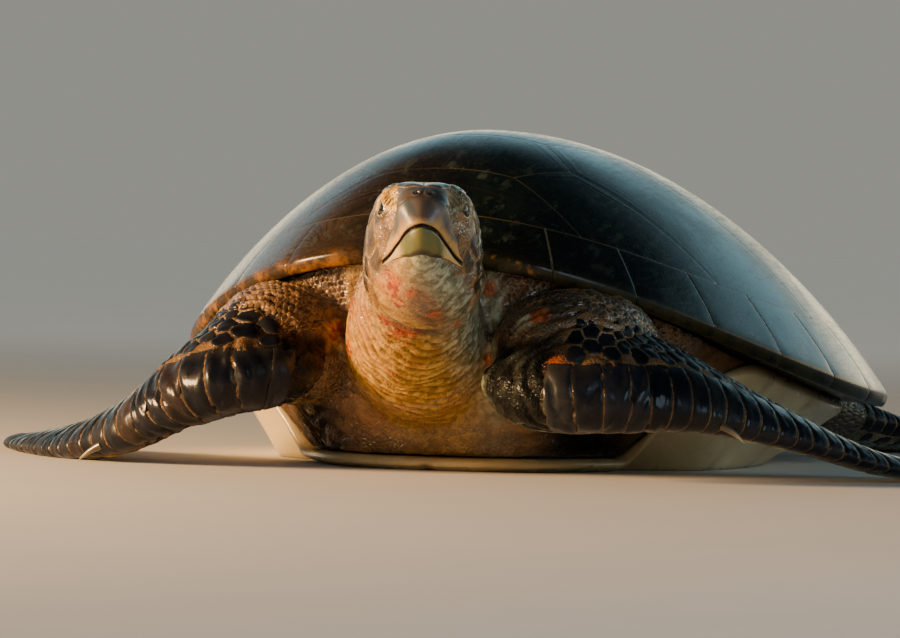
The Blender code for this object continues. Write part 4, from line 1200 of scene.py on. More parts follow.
points = kept_in(points)
set_points(body, points)
pale, rust = markings(points, read(body.vertex_normals, "vector", 3))
off = points - SHELL_AT
along, aside, above = on_head(points)
blade_starts = np.where(off[:, 0] > 0, 0.165, 0.130)
blades = soft(np.abs(off[:, 0]) - blade_starts, 0.0, 0.04) * (off[:, 1] < 0.2)
chest = band(np.abs(off[:, 0]), 0.050, 0.075, 0.135, 0.160) * soft(-off[:, 1], 0.36, 0.42)
crown = band(along, 0.0, 0.02, 0.090, 0.115) * soft(above, -0.045, -0.03)
cheek = band(along, 0.085, 0.100, 0.155, 0.168) * band(above, -0.04, -0.03, 0.006, 0.014)
# on the cheeks the warm seam tone is stronger on the turtle's right, painted warm sunlight, and weaker on
# its shaded left
scaled = np.max([blades, soft(off[:, 1], 0.42, 0.48), 0.8 * chest * (1 - pale) * (1 - black_and_shade_of(points)),
                 crown, cheek * np.where(aside < 0, 0.95, 0.45)], axis=0)
snout = soft(along, 0.160, 0.176) * soft(above, -0.004, 0.004)
stain = np.clip(2.2 * near(points, SHELL_AT + POUCH_STAIN[0], POUCH_STAIN[1]), 0, 1)
for key, value in {"scaled": scaled, "pale": pale, "rust": rust, "crease": crease, "lid": lid,
                   "pleat_shade": pleat_shade, "pit_shade": pit_shade, "stain": stain, "snout": snout,
                   "night": black_and_shade_of(points)}.items():
    body.attributes.new(key, "FLOAT", "POINT").data.foreach_set("value", value)
body.shade_smooth()
skin = shown("skin", body)

# the colours that skin and scales share
hide, ends_in, ends_out = effect("turtle_colours", {"Vector": None, "Pale": 0.0, "Rust": 0.0,
                                                    "Depth": 0.0, "Stain": 0.0, "Night": 0.0},
                                 {"Color": "Color", "Height": "Float"})
spot_of = ends_in["Vector"]
cloud = grain(spot_of, 22.0, 4.0, 0.6, distortion=0.5)
mottle = grain(spot_of, 95.0, 3.0, 0.6, distortion=0.4)
speck = grain(spot_of, 190.0, 3.0, 0.65)
across = part_x(spot_of)
clouded = step(cloud, 0.36, 0.64)
# the dark skin is purple-brown and lighter on the turtle's right, painted warm light, and darker olive on
# its left, painted shade; both are partly the skin's own tones
sunlit_purple = blend(clouded, (0.030, 0.020, 0.020), (0.115, 0.066, 0.048))
olive = blend(clouded, (0.022, 0.021, 0.013), (0.070, 0.058, 0.030))
dark = blend(step(across, -0.02, 0.08), sunlit_purple, olive)
dark = blend(step(mottle, 0.54, 0.66), dark, (0.26, 0.125, 0.042), 0.45)
black = blend(step(mottle, 0.42, 0.62), (0.004, 0.005, 0.006), (0.012, 0.013, 0.011))
# the skin turned near-black: partly its own black and partly painted shade below the arms' folds and round
# the elbows
dark = blend(ends_in["Night"], dark, black, 0.98)
warm = blend(step(mottle, 0.36, 0.62), (0.68, 0.40, 0.085), (0.36, 0.185, 0.028))
warm = blend(step(cloud, 0.50, 0.64), warm, (0.52, 0.20, 0.055), 0.55)
shaded_cool_cream = blend(step(mottle, 0.40, 0.60), (0.42, 0.48, 0.36), (0.15, 0.18, 0.11))
# the cream is warm on the turtle's right, painted warm sunlight, and cool grey-green on its left, painted
# cool shade
cream = blend(step(across, 0.040, 0.088), warm, shaded_cool_cream)
cream = blend(step(speck, 0.54, 0.68), cream, (0.20, 0.13, 0.055), 0.60)
coat = blend(ends_in["Pale"], dark, cream)
amber = blend(step(mottle, 0.40, 0.62), (0.24, 0.105, 0.028), (0.085, 0.040, 0.016))
coat = blend(ends_in["Stain"], coat, amber, 0.95)
ragged = plus(ends_in["Rust"], times(sums("SUBTRACT", mottle, 0.5), 1.7))
red = blend(step(speck, 0.42, 0.60), (0.52, 0.100, 0.004), (0.25, 0.022, 0.002))
red = blend(step(ends_in["Rust"], 1.02, 1.2), red, (0.20, 0.015, 0.015))
sore = times(step(ragged, 0.28, 0.60), step(ends_in["Rust"], 0.04, 0.25))
coat = blend(sore, coat, red, 0.92)
# painted shade in the creases: the deeper a crease, the darker the skin, near-black where the skin is
# black
hollow = blend(ends_in["Night"], (0.075, 0.040, 0.022), (0.006, 0.006, 0.006))
coat = blend(ends_in["Depth"], coat, hollow, 0.80)
feed(ends_out, Color=coat, Height=plus(mottle, times(speck, 0.5)))

wet_skin, shader, place = surface("wet_skin")
colours = use(hide, Vector=place, Pale=held("pale"), Rust=held("rust"), Depth=held("crease"),
              Stain=held("stain"), Night=held("night"))
tone = colours["Color"]
seam = blend(step(grain(place, 50.0, 3.0), 0.35, 0.65), (0.40, 0.22, 0.085), (0.15, 0.080, 0.035))
# the seams turn darker too where the skin's black and its painted shade are
seam = blend(held("night"), seam, (0.075, 0.048, 0.030), 0.55)
tone = blend(held("scaled"), tone, seam, 0.80)
lid_grain = step(grain(place, 150.0, 3.0), 0.42, 0.64)
lid_tone = blend(lid_grain, (0.80, 0.50, 0.090), (0.44, 0.24, 0.045))
shaded_lid = blend(lid_grain, (0.22, 0.19, 0.075), (0.085, 0.070, 0.035))
# the lids are bright on the turtle's right, where painted warm sunlight falls, and dull on its left,
# painted shade
lid_tone = blend(step(part_x(place), 0.055, 0.085), lid_tone, shaded_lid)
# painted shade in the troughs of the lids' pleats
lid_tone = blend(held("pleat_shade"), lid_tone, (0.085, 0.045, 0.020), 0.75)
tone = blend(held("lid"), tone, lid_tone, 0.92)
nose = blend(step(grain(place, 70.0, 3.0), 0.40, 0.62), (0.085, 0.066, 0.056), (0.040, 0.042, 0.045))
tone = blend(held("snout"), tone, nose)
# painted shade in the nostrils and the groove of the mouth
tone = blend(held("pit_shade"), tone, (0.010, 0.006, 0.004))
film, _ = moisten(shader, place, 26.0, 0.42, 0.20)
matt = sums("MULTIPLY_ADD", held("night"), -0.90, 1.0)
gloss = sums("MULTIPLY_ADD", film, 0.6, 0.25)
feed(shader, Base_Color=tone, Coat_Weight=times(gloss, matt), Specular_IOR_Level=times(matt, 0.5),
     Coat_Roughness=0.10, Subsurface_Weight=0.06, Subsurface_Radius=(0.010, 0.004, 0.002),
     Subsurface_Scale=0.5)
cells = node("TexVoronoi", {"feature": "DISTANCE_TO_EDGE"}, Vector=place, Scale=190.0)
wrinkle = plus(times(colours["Height"], 0.8), step(cells.outputs["Distance"], 0.0, 0.25))
wrinkle = times(wrinkle, sums("SUBTRACT", 1.0, held("snout")))
wrinkle = times(wrinkle, sums("MULTIPLY_ADD", held("pale"), -0.55, 1.0))
relief(shader, wrinkle, 0.5, 0.0012)
fit(skin, wet_skin, "dark_skin", "trunk", "neck", "head", "jaw", "arm_left", "arm_right",
    "flipper_left", "flipper_right", "thigh_left", "thigh_right", "hind_flipper_left",
    "hind_flipper_right", "tail")

# ---- the beak -------------------------------------------------------------------------
# Horny sheaths over both jaws, grown from the bone: the upper one smooth and blue-grey
# with a yellowish cutting edge, the lower one olive. They close on a thin dark line.
# Side-view lines of each sheath: along and above, from the tip back to the corner.
UPPER_TOP = ((0.192, 0.0160), (0.1865, 0.0142), (0.178, 0.0040), (0.172, -0.0010), (0.150, -0.0065),
             (0.130, -0.0118), (0.115, -0.0190), (0.100, -0.0248))
LOWER_FOOT = ((0.192, -0.0425), (0.165, -0.0420), (0.155, -0.0388), (0.145, -0.0350), (0.130, -0.0315),
              (0.100, -0.0288))
BEAK_SWING, BEAK_THICK, SNOUT_TIP = math.radians(68), 0.0034, 0.1905
BEAK_ROWS, BEAK_COLUMNS = 26, 121
LINE_GAP = 0.0017           # how far either sheath stays from the line of the mouth
ROUNDING = 0.0011           # of a sheath's rims
LIP_SHADE = 0.0007           # over what height a sheath is painted with shade beside the line of the mouth
BISECTIONS, EASINGS = 26, 8 # rounds that find a sheath's reach, and that ease it


def slice_width(along, height):
    """Half width of the head at a station and a height: the superellipse solved for width."""
    wide, top, low, middle, square = head_section(np.minimum(along, 0.19))
    rise = np.where(height > middle, top - middle, middle - low)
    power = np.where(height > middle, square, LOW_SQUARENESS)
    share = np.clip(np.abs(height - middle) / rise, 0.0, 1.0)
    tipped = np.clip((SNOUT_TIP - along) / 0.0035, 0.0, 1.0) ** 0.5
    return wide * (1 - share ** (2 / power)) ** (power / 2) * tipped * pinch(along, height)


def sheath(name, upper_line, lower_line, peaks, faded=0.0):
    """A sheath wrapped round the snout: for each bearing from a pivot inside the head and
    each share of the height between its two lines, the place where that bearing leaves the
    head's own section; rounded at both rims, closed by an inner wall. The upper rim sinks
    into the skin by `faded`; `peaks` says how much of the mouth's peak each line takes."""
    rows, columns = BEAK_ROWS, BEAK_COLUMNS
    swing = np.linspace(-BEAK_SWING, BEAK_SWING, columns)[None]
    share = (0.5 - 0.5 * np.cos(np.linspace(0, math.pi, rows)))[:, None]
    low, high = np.full((rows, columns), BEAK_PIVOT), np.full((rows, columns), SNOUT_TIP)
    peak = mouth_peak(swing) * (peaks[1] * (1 - share) + peaks[0] * share)

    def level(along):
        return beak_line(lower_line, along) * (1 - share) + beak_line(upper_line, along) * share + peak

    for _ in range(BISECTIONS):
        guess = (low + high) / 2
        inside = slice_width(guess, level(guess)) > np.abs(np.tan(swing)) * (guess - BEAK_PIVOT)
        low, high = np.where(inside, guess, low), np.where(inside, high, guess)
    along = (low + high) / 2
    height = level(along)
    tall = np.abs(beak_line(upper_line, along) - beak_line(lower_line, along))
    reach = (along - BEAK_PIVOT) / np.cos(swing)
    for _ in range(EASINGS):
        reach[:, 1:-1] = (reach[:, :-2] + 2 * reach[:, 1:-1] + reach[:, 2:]) / 4
    ends = np.minimum(np.minimum(share, 1 - share) * tall, (1 - np.abs(swing / BEAK_SWING)) * 0.05)
    drop = np.maximum(ROUNDING * bump(ends, ROUNDING), faded * bump((1 - share) * tall, 0.0028))
    walls = [head_place(BEAK_PIVOT + radius * np.cos(swing), radius * np.sin(swing), height)
             for radius in (reach - drop, reach - drop - BEAK_THICK)]
    from_mouth = (share * peaks[1] + (1 - share) * peaks[0]) * tall
    # the sheath is painted with shade beside the line of the mouth and all over its inner wall, inside the
    # gap between the jaws
    lip = bump(from_mouth, LIP_SHADE).ravel()
    count = rows * columns
    grid = sheet_faces(rows, columns)
    ring = np.concatenate([np.arange(columns), np.arange(1, rows) * columns + columns - 1,
                           (rows - 1) * columns + np.arange(columns - 2, -1, -1),
                           np.arange(rows - 2, 0, -1) * columns])
    wall = np.stack([ring, ring + count, np.roll(ring, -1) + count, np.roll(ring, -1)], -1)
    return put_in(name, np.stack(walls), [grid, grid[:, ::-1] + count, wall[:, ::-1]],
                  lip=np.concatenate([lip, np.ones(count)]), rise=np.tile(np.repeat(share, columns), 2),
                  bearing=np.tile(swing.ravel() / BEAK_SWING, rows * 2))


def beak_horn(name, body_tone, deep_tone, ridge_tone, edge_tone, top_tone, foot_shade):
    """Smooth wet horn: soft streaks that run down from the nose, a paler cutting edge that
    widens towards the corners of the mouth, and the tone at the upper rim; at the foot a
    near-black band is painted shade in the crease below the sheath, and beside the line of the
    mouth the horn is darkened as painted shade."""
    made, shader, place = surface(name)
    bearing = node("CombineXYZ", X=held("bearing"), Y=times(held("rise"), 0.12)).outputs[0]
    streak = grain(bearing, 6.5, 3.0, 0.55)
    tone = blend(step(streak, 0.38, 0.64), body_tone, deep_tone)
    ridge = sums("ABSOLUTE", plus(held("bearing"), -0.03))
    tone = blend(step(ridge, 0.02, 0.13, 0.85, 0.0), tone, ridge_tone)
    rise, outward_of = held("rise"), sums("ABSOLUTE", held("bearing"))
    if foot_shade:
        tone = blend(step(outward_of, 0.20, 0.38), tone, edge_tone)
        # painted shade: a near-black band in the crease along the lower sheath's foot
        foot = times(step(rise, 0.03, 0.22, 1.0, 0.0), step(outward_of, 0.22, 0.36, 1.0, 0.0))
        tone = blend(foot, tone, foot_shade)
    else:
        inside = sums("SUBTRACT", rise, sums("MULTIPLY_ADD", outward_of, 1.15, -0.04))
        tone = blend(step(inside, -0.10, 0.30), edge_tone, tone)
        tone = blend(step(rise, 0.72, 0.98), tone, top_tone)
    tone = blend(step(grain(place, 130.0, 3.0), 0.56, 0.7), tone, deep_tone, 0.30)
    # painted shade beside the line of the mouth and on the inner wall
    tone = blend(held("lip"), tone, (0.026, 0.010, 0.004))
    film, _ = moisten(shader, place, 34.0, 0.46, 0.36)
    feed(shader, Base_Color=tone, Coat_Weight=sums("MULTIPLY_ADD", film, 0.35, 0.12), Coat_Roughness=0.36)
    relief(shader, plus(streak, grain(place, 240.0, 2.0)), 0.25, 0.0006)
    return made


beak_upper = sheath("beak_upper_horn", UPPER_TOP, [(a, h + LINE_GAP) for a, h in MOUTH_LINE],
                    (0.0, 1.0), 0.0018)
beak_lower = sheath("beak_lower_horn", [(a, h - LINE_GAP) for a, h in MOUTH_LINE], LOWER_FOOT,
                    (1.0, 0.0))
upper_horn = beak_horn("upper_beak_horn", (0.20, 0.155, 0.130), (0.060, 0.080, 0.092),
                       (0.030, 0.024, 0.020), (0.56, 0.33, 0.095), (0.075, 0.052, 0.040), None)
lower_horn = beak_horn("lower_beak_horn", (0.19, 0.165, 0.040), (0.085, 0.100, 0.028),
                       (0.105, 0.120, 0.030), (0.66, 0.48, 0.18), None, (0.022, 0.018, 0.008))
fit(beak_upper, upper_horn, "horn", "beak_upper")
fit(beak_lower, lower_horn, "horn", "beak_lower")

# ---- the eyes -------------------------------------------------------------------------
# Large dark eyes half closed by wrinkled lids; the lids' bare margins are a thin fleshy
# roll round the slit.
EYE_ROWS, EYE_COLUMNS, EYE_POLE = 40, 56, 0.03
MARGIN_ROWS, MARGIN_SIDES, MARGIN_RADIUS = 72, 10, 0.0013
eye_dark, shader, place = surface("eye")
axis = held("axis")
iris = blend(grain(place, 260.0, 3.0), (0.050, 0.026, 0.010), (0.016, 0.010, 0.006))
tone = blend(step(axis, 0.36, 0.42), (0.002, 0.002, 0.002), iris)
tone = blend(step(axis, 0.86, 0.98), tone, (0.020, 0.015, 0.012))
feed(shader, Base_Color=tone, Roughness=0.10, Specular_IOR_Level=0.3, Coat_Weight=0.4,
     Coat_Roughness=0.03)
margin_flesh, shader, place = surface("lid_margin")
tone = blend(step(grain(place, 200.0, 3.0), 0.4, 0.6), (0.42, 0.30, 0.13), (0.16, 0.10, 0.05))
feed(shader, Base_Color=tone, Roughness=0.25, Coat_Weight=0.6)
relief(shader, grain(place, 300.0, 2.0), 0.3, 0.0005)
for side, word in SIDES:
    centre, *axes = eye_axes(side)
    axes = np.stack(axes)
    polar = np.linspace(EYE_POLE, math.pi - EYE_POLE, EYE_ROWS)[:, None]
    bulge = 1 + 0.035 * bump(polar, 0.55)
    globe = ball(EYE_ROWS, EYE_COLUMNS, EYE_POLE) * (bulge * (EYE_RADIUS - 0.0005))[..., None]
    eyeball = put_in("eyeball_" + word, centre + globe @ axes, closed_faces(EYE_ROWS, EYE_COLUMNS),
                     axis=np.repeat(polar, EYE_COLUMNS))
    fit(eyeball, eye_dark, "eye", "eye_" + word)
    turn = turns(MARGIN_ROWS)
    lifted = np.sign(np.sin(turn)) * np.abs(np.sin(turn)) ** 1.35 * np.where(np.sin(turn) > 0, 1, 0.85)
    p, q = EYE_OPEN[0] * np.cos(turn), EYE_OPEN[1] * 1.12 * lifted
    ring = np.stack([p, q, np.sqrt(1 - p**2 - q**2)], -1)
    across = np.cross(ring, each_unit(np.roll(ring, -1, 0) - np.roll(ring, 1, 0)))
    around = turns(MARGIN_SIDES)[None, :, None]
    round_it = np.cos(around) * ring[:, None] + np.sin(around) * across[:, None] * 1.1
    tube = ring[:, None] * (EYE_RADIUS + 0.0010) + MARGIN_RADIUS * round_it
    quads = sheet_faces(MARGIN_ROWS + 1, MARGIN_SIDES, True) % (MARGIN_ROWS * MARGIN_SIDES)
    fit(put_in("lid_margin_" + word, centre + tube.reshape(-1, 3) @ axes, quads), margin_flesh,
        "dark_skin")

# ---- the scales -----------------------------------------------------------------------
# Thin horny scales set in the skin: large named plates on the head, small ones on neck and
# shoulders, and broad dark ones on the flippers, biggest in a row down the leading edge.
def hexagons(rows, columns, jitter, seed):
    """Corners of six-sided cells on a staggered lattice that wanders by the jitter: each
    corner is the mean of the three lattice points round it. Columns close round a limb."""
    off = np.random.default_rng(seed).uniform(-jitter, jitter, (rows + 2, columns, 2))
    i, j = np.meshgrid(np.arange(1, rows + 1), np.arange(columns), indexing="ij")

    def at(i, j):
        return np.stack([j + 0.5 * (i % 2), i - 0.5], -1) + off[i, j % columns]

    odd = i % 2
    near_by = [at(i, j + 1), at(i + 1, j + odd), at(i + 1, j - 1 + odd), at(i, j - 1),
               at(i - 1, j - 1 + odd), at(i - 1, j + odd)]
    cells = np.stack([(at(i, j) + near_by[k] + near_by[(k + 1) % 6]) / 3 for k in range(6)], -2)
    return cells.reshape(-1, 6, 2) / (columns, rows)


def rounded(cells, pull):
    """Outlines with a point at each corner, drawn in a little, and one on each side."""
    middle_of = cells.mean(axis=1, keepdims=True)
    sides = (cells + np.roll(cells, -1, axis=1)) / 2
    return np.stack([middle_of + (cells - middle_of) * pull, sides], 2).reshape(len(cells), -1, 2)


def chart_of(rings):
    """A function that gives a point on a stack of rings from shares round it and along it."""
    rows, columns, _ = rings.shape

    def chart(v, u):
        a, b = np.clip(u, 0, 1) * (rows - 1), (v % 1.0) * columns
        i, j = np.minimum(a.astype(int), rows - 2), b.astype(int) % columns
        a, b, n = (a - i)[..., None], (b - np.floor(b))[..., None], (j + 1) % columns
        return ((rings[i, j] * (1 - a) + rings[i + 1, j] * a) * (1 - b)
                + (rings[i, n] * (1 - a) + rings[i + 1, n] * a) * b)

    return chart


def on_skin(points, above_it=0.0):
    """The points moved to the nearest place on the skin, or that far above it."""
    mesh = bpy.data.meshes.new("carrier")
    mesh.vertices.add(len(points))
    mesh.vertices.foreach_set("co", np.ascontiguousarray(points, np.float64).ravel())
    carrier = shown("carrier", mesh)
    wrap = carrier.modifiers.new("wrap", "SHRINKWRAP")
    wrap.target, wrap.wrap_method = skin, "NEAREST_SURFACEPOINT"
    wrap.wrap_mode, wrap.offset = "ABOVE_SURFACE", above_it
    moved = coordinates(worked(carrier))
    bpy.data.objects.remove(carrier)
    return moved


DOME_POWER, FOOT_SINK = 6, 0.8   # how square a scale's dome is, and how deep its foot, in heights
PROBE = 0.001               # the skin's outward direction is read from this far above it
STIFFNESS = 1.5             # how much a scale keeps to one outward direction of its own
PATCH = 0.0015              # half of a scale's patch on the flat map


def lay_scales(name, outlines, chart, height, gap, horn, allow=0.010, choose=None,
               shares=(0.0, 0.5, 0.80, 0.95), slot="dark_skin"):
    """Scales as one piece. Each outline is drawn in by half the gap and repeated at smaller
    shares towards its middle; all of it is set on the skin and raised along the skin's
    outward direction to a low dome, its foot sunk in the skin. A scale whose place lies
    under other flesh is left out."""
    shares = np.array([*shares, 1.0, 1.0])
    raised = np.append(1 - shares[:-1] ** DOME_POWER, -FOOT_SINK) * height
    roots = outlines.mean(axis=1)
    place = chart(roots[:, 0], roots[:, 1])
    settled = on_skin(place)
    good = np.linalg.norm(settled - place, axis=1) < allow
    if choose is not None:
        good &= choose(settled, on_skin(place, PROBE) - settled)
    outlines, roots = outlines[good], roots[good]
    count, sides = outlines.shape[:2]
    spread_in = roots[:, None, None] + (outlines - roots[:, None])[:, None] * shares[:, None, None]
    spots = chart(spread_in[..., 0], spread_in[..., 1])
    centre = spots[:, :1, :1]
    off = spots - centre
    reach_of = np.linalg.norm(off[:, -1:], axis=-1, keepdims=True)
    spots = centre + off * np.clip(1 - gap / 2 / reach_of, 0.3, 1.0)
    flat = spots.reshape(-1, 3)
    settled = on_skin(flat)
    up = each_unit((on_skin(flat, PROBE) - settled).reshape(spots.shape), 1e-9)
    up = each_unit(up + STIFFNESS * up.mean(axis=(1, 2), keepdims=True))
    spots = settled.reshape(spots.shape) + up * raised[:, None, None]
    rings = len(shares)
    top, foot = spots[:, 0, :1], spots[:, -1].mean(axis=1, keepdims=True)
    points = kept_in(np.concatenate([top, spots[:, 1:].reshape(count, -1, 3), foot], 1))
    each = points.shape[1]
    k = np.arange(sides)
    n = (k + 1) % sides
    last = 1 + (rings - 2) * sides
    fans = np.concatenate([np.stack([0 * k, 1 + k, 1 + n], -1),
                           np.stack([0 * k + each - 1, last + n, last + k], -1)])
    down = 1 + np.arange(rings - 2)[:, None] * sides
    quads = np.stack([down + k, down + sides + k, down + sides + n, down + n], -1).reshape(-1, 4)
    starts = (np.arange(count) * each)[:, None, None]
    pale, rust = markings(points[:, 0], up[:, 0, 0])
    pick = np.random.default_rng(len(name) * 7 + count).uniform(0, 1, count)
    rim_share = np.concatenate([[0.0], np.repeat(shares[1:], sides), [1.0]])
    faces = [(fans + starts).reshape(-1, 3), (quads + starts).reshape(-1, 4)]
    made = put_in(name, points, faces, pale=np.repeat(pale, each), rust=np.repeat(rust, each),
                  tone=np.repeat(pick, each), rim=np.tile(rim_share, count))
    # each scale is a small patch at its root's place on the limb laid out flat
    low, high = roots.min(axis=0), roots.max(axis=0)
    root_uv = 0.01 + 0.98 * (roots - low) / np.maximum(high - low, 0.05)
    within = (spread_in - roots[:, None, None])[:, 1:].reshape(count, -1, 2)
    within = np.pad(within, ((0, 0), (1, 1), (0, 0)))
    within /= np.abs(within).max(axis=(1, 2), keepdims=True)
    uv = (root_uv[:, None] + PATCH * within).reshape(-1, 2)
    loops = read(made.data.loops, "vertex_index", 1, np.int32).ravel()
    made.data.uv_layers.new(name="OFBake").data.foreach_set("uv", uv[loops].ravel())
    fit(made, horn, slot)


def scale_horn(name, dark, mid, edge_tone, gloss=0.22, shine=0.35):
    """Wet horn of the scales: dark in the middle, paler at the rim, each a little different,
    and cream or orange-red where the skin below is."""
    made, shader, place = surface(name)
    colours = use(hide, Vector=place, Pale=held("pale"), Rust=held("rust"), Depth=0.0)
    cloud = grain(place, 60.0, 4.0, 0.65, distortion=0.4)
    mixed = plus(times(held("tone"), 0.55), times(cloud, 0.7))
    body_tone = blend(step(mixed, 0.40, 0.95), dark, mid)
    body_tone = blend(step(held("rim"), 0.72, 1.0, 0.0, 0.75), body_tone, edge_tone)
    share = sums("MAXIMUM", held("pale"), held("rust"))
    tone = blend(share, body_tone, colours["Color"], 0.85)
    film, beads = moisten(shader, place, 22.0, gloss + 0.16, gloss - 0.06)
    feed(shader, Base_Color=tone, Coat_Weight=sums("MULTIPLY_ADD", film, shine, shine - 0.17),
         Coat_Roughness=0.09, Specular_IOR_Level=shine)
    relief(shader, plus(cloud, times(beads, 0.4)), 0.35, 0.0008)
    return made


# the plates' seeds on the left side: metres along, and degrees from the crown's middle, where
# 0 makes a plate in the middle
HEAD_SEEDS = (
    (0.157, 17), (0.117, 0), (0.124, 36), (0.086, 0), (0.046, 15), (0.080, 34), (0.050, 46),
    (0.013, 6), (0.013, 24), (0.014, 42), (0.016, 60), (0.099, 57), (0.093, 76), (0.094, 93),
    (0.096, 109), (0.074, 62), (0.070, 82), (0.071, 102), (0.046, 68), (0.045, 88), (0.047, 108),
    (0.020, 78), (0.019, 97),
)
# places that hold their share of the plan and get no plate
NO_PLATES = (
    (0.130, 71), (0.134, 96), (0.156, 70), (0.172, 52), (0.120, 118), (0.106, 130), (0.185, 22),
    (0.10, 150), (0.150, 120), (0.172, 100), (0.075, 124), (0.049, 130), (0.021, 116), (0.024, 138),
    (0.02, 158), (-0.012, 20), (-0.012, 60), (-0.012, 100),
)
CHART_ROUND = 0.052         # metres for a radian round the head, in the plates' plan


def head_plates():
    """Outlines of the head's plates: each holds what is nearer to its own seed than to any
    other, the plan being cut by one straight line for each neighbour. The plan is mirrored."""
    seeds, wanted = [], []
    for table, want in ((HEAD_SEEDS, True), (NO_PLATES, False)):
        for along, turn in table:
            for side in ((1, -1) if turn else (1,)):
                seeds.append((along, math.radians(turn) * side * CHART_ROUND))
                wanted.append(want)
    seeds = np.array(seeds)
    outlines = []
    for k in np.flatnonzero(wanted):
        shape = np.array([(-0.02, -0.16), (0.2, -0.16), (0.2, 0.16), (-0.02, 0.16)])
        for other in seeds[np.arange(len(seeds)) != k]:
            way, half = other - seeds[k], (other + seeds[k]) / 2
            side = (shape - half) @ way
            if side.max() <= 0:
                continue
            ahead = np.roll(shape, -1, axis=0)
            side_ahead = np.roll(side, -1)
            kept = []
            for p, q, s, t in zip(shape, ahead, side, side_ahead):
                if s <= 0:
                    kept.append(p)
                if (s < 0 < t) or (t < 0 < s):
                    kept.append(p + (q - p) * s / (s - t))
            shape = np.array(kept)
        run = np.concatenate([[0.0], np.cumsum(np.linalg.norm(np.roll(shape, -1, 0) - shape, axis=1))])
        ring = np.vstack([shape, shape[:1]])
        spaced = np.linspace(0.0, run[-1], 33)[:-1]
        ring = np.stack([np.interp(spaced, run, ring[:, axis]) for axis in (0, 1)], -1)
        soft_ring = (np.roll(ring, 1, 0) + 2 * ring + np.roll(ring, -1, 0)) / 4
        outlines.append(soft_ring[:, ::-1])
    return np.array(outlines)


def head_chart(turn, along):
    """A point on the skin's head from metres round it, from the crown's middle, and along."""
    return head_surface(along, math.pi / 2 - turn / CHART_ROUND, -COAT)


head_horn = scale_horn("head_scale_horn", (0.024, 0.020, 0.016), (0.125, 0.080, 0.042),
                       (0.34, 0.21, 0.080))
lay_scales("scales_head", head_plates(), head_chart, 0.0013, 0.0021, head_horn, 0.007)


def thinly(share, seed, palest=0.45):
    """A choice of scales that leaves out pale skin and, beyond that, all but a share."""
    def choose(places, facing):
        pale, _ = markings(places, each_unit(facing, 1e-9))
        drawn = np.random.default_rng(seed).uniform(size=len(places)) < share
        return (pale < palest) & (hidden(places) < 0.2) & drawn
    return choose


cells = hexagons(26, 54, 0.20, 11)
cells[..., 1] = 0.30 + 0.70 * cells[..., 1]
neck_horn = scale_horn("neck_scale_horn", (0.050, 0.042, 0.030), (0.13, 0.10, 0.055),
                       (0.20, 0.15, 0.08), 0.30)
lay_scales("scales_neck", cells, chart_of(limb(NECK_ROWS, 80, 144, grow=-COAT)), 0.0009, 0.0018,
           neck_horn, 0.012, thinly(0.9, 1), slot="throat_skin")
flipper_horn = scale_horn("flipper_scale_horn", (0.004, 0.005, 0.009), (0.012, 0.014, 0.020),
                          (0.022, 0.021, 0.020), 0.26, 0.17)
shoulder_horn = scale_horn("shoulder_scale_horn", (0.040, 0.030, 0.026), (0.10, 0.070, 0.045),
                           (0.17, 0.11, 0.055), 0.26)
# the right shoulder's scales are a warmer, paler copy of the left's: painted warm sunlight
sunlit_shoulder_horn = scale_horn("sunlit_shoulder_scale_horn", (0.090, 0.058, 0.034), (0.22, 0.135, 0.062),
                         (0.36, 0.21, 0.080), 0.26)
# the leading row: half its share of the way round a blade, its middle, and how finely its
# scales are drawn in towards theirs
LEAD_HALF, LEAD_MIDDLE = 0.160, 0.435
LEAD_SHARES = (0.0, 0.15, 0.30, 0.45, 0.60, 0.74, 0.86, 0.95)


BLADE_CROWDING, BLADE_ENDS, BLADE_ALLOW = 0.30, 0.985, 0.016


def blade_scales(word, chart, rows, columns, lead_rows, first, height, seed):
    """A blade's coat: hexagons, closer together towards the trailing edge, that stop at the
    leading row, and that row's own broad scales side by side."""
    everywhere = thinly(2.0, seed, 2.0)
    cells = hexagons(rows, columns, 0.16, seed)
    v = cells[..., 0] % 1.0
    v = v + np.where(cells[..., 0].mean(axis=1, keepdims=True) - v > 0.5, 1.0, 0.0)
    v = v - BLADE_CROWDING * np.sin(2 * math.pi * v) / (2 * math.pi)
    away = v - LEAD_MIDDLE
    middle_of = away.mean(axis=1, keepdims=True)
    side = np.sign(middle_of)
    beside = LEAD_MIDDLE + side * np.maximum(away * side, LEAD_HALF)
    v = np.where(np.abs(middle_of) > LEAD_HALF, beside, v)
    cells = np.stack([v, first + (BLADE_ENDS - first) * cells[..., 1]], -1)
    cells = cells[(np.abs(middle_of) > LEAD_HALF * 1.04)[:, 0]]
    lay_scales("scales_" + word, rounded(cells, 0.97), chart, height, 0.0014, flipper_horn,
               BLADE_ALLOW, everywhere)
    wander = np.random.default_rng(seed).uniform(-0.12, 0.12, (lead_rows + 1, 2))
    stops = first - 0.02 + (1.0 - first) * (np.arange(lead_rows + 1)[:, None] + wander) / lead_rows
    low, high = stops[:-1], stops[1:]
    across = LEAD_MIDDLE + LEAD_HALF * 0.985 * np.array([-1, 0, 1, 1, 0, -1])
    below, above_it = low.mean(axis=1), high.mean(axis=1)
    lead = np.stack([low[:, 0], below, low[:, 1], high[:, 1], above_it, high[:, 0]], 1)
    lead = np.stack([np.broadcast_to(across, lead.shape), lead], -1)
    ahead = np.roll(lead, -1, axis=1)
    finer = np.stack([lead + (ahead - lead) * k / 6 for k in range(6)], 2)
    lay_scales("scales_lead_" + word, finer.reshape(len(lead), -1, 2), chart, height * 1.1, 0.0015,
               flipper_horn, BLADE_ALLOW, everywhere, LEAD_SHARES)


def off_folds(side, seed):
    """A choice of scales that leaves out the folded skin round an elbow as well."""
    scattered = thinly(0.85, seed)

    def choose(places, facing):
        away = np.linalg.norm((places - ELBOWS[side]) * ELBOW_STRETCH, axis=1)
        return scattered(places, facing) & (away > 0.088) & (black_and_shade_of(places) < 0.5)
    return choose


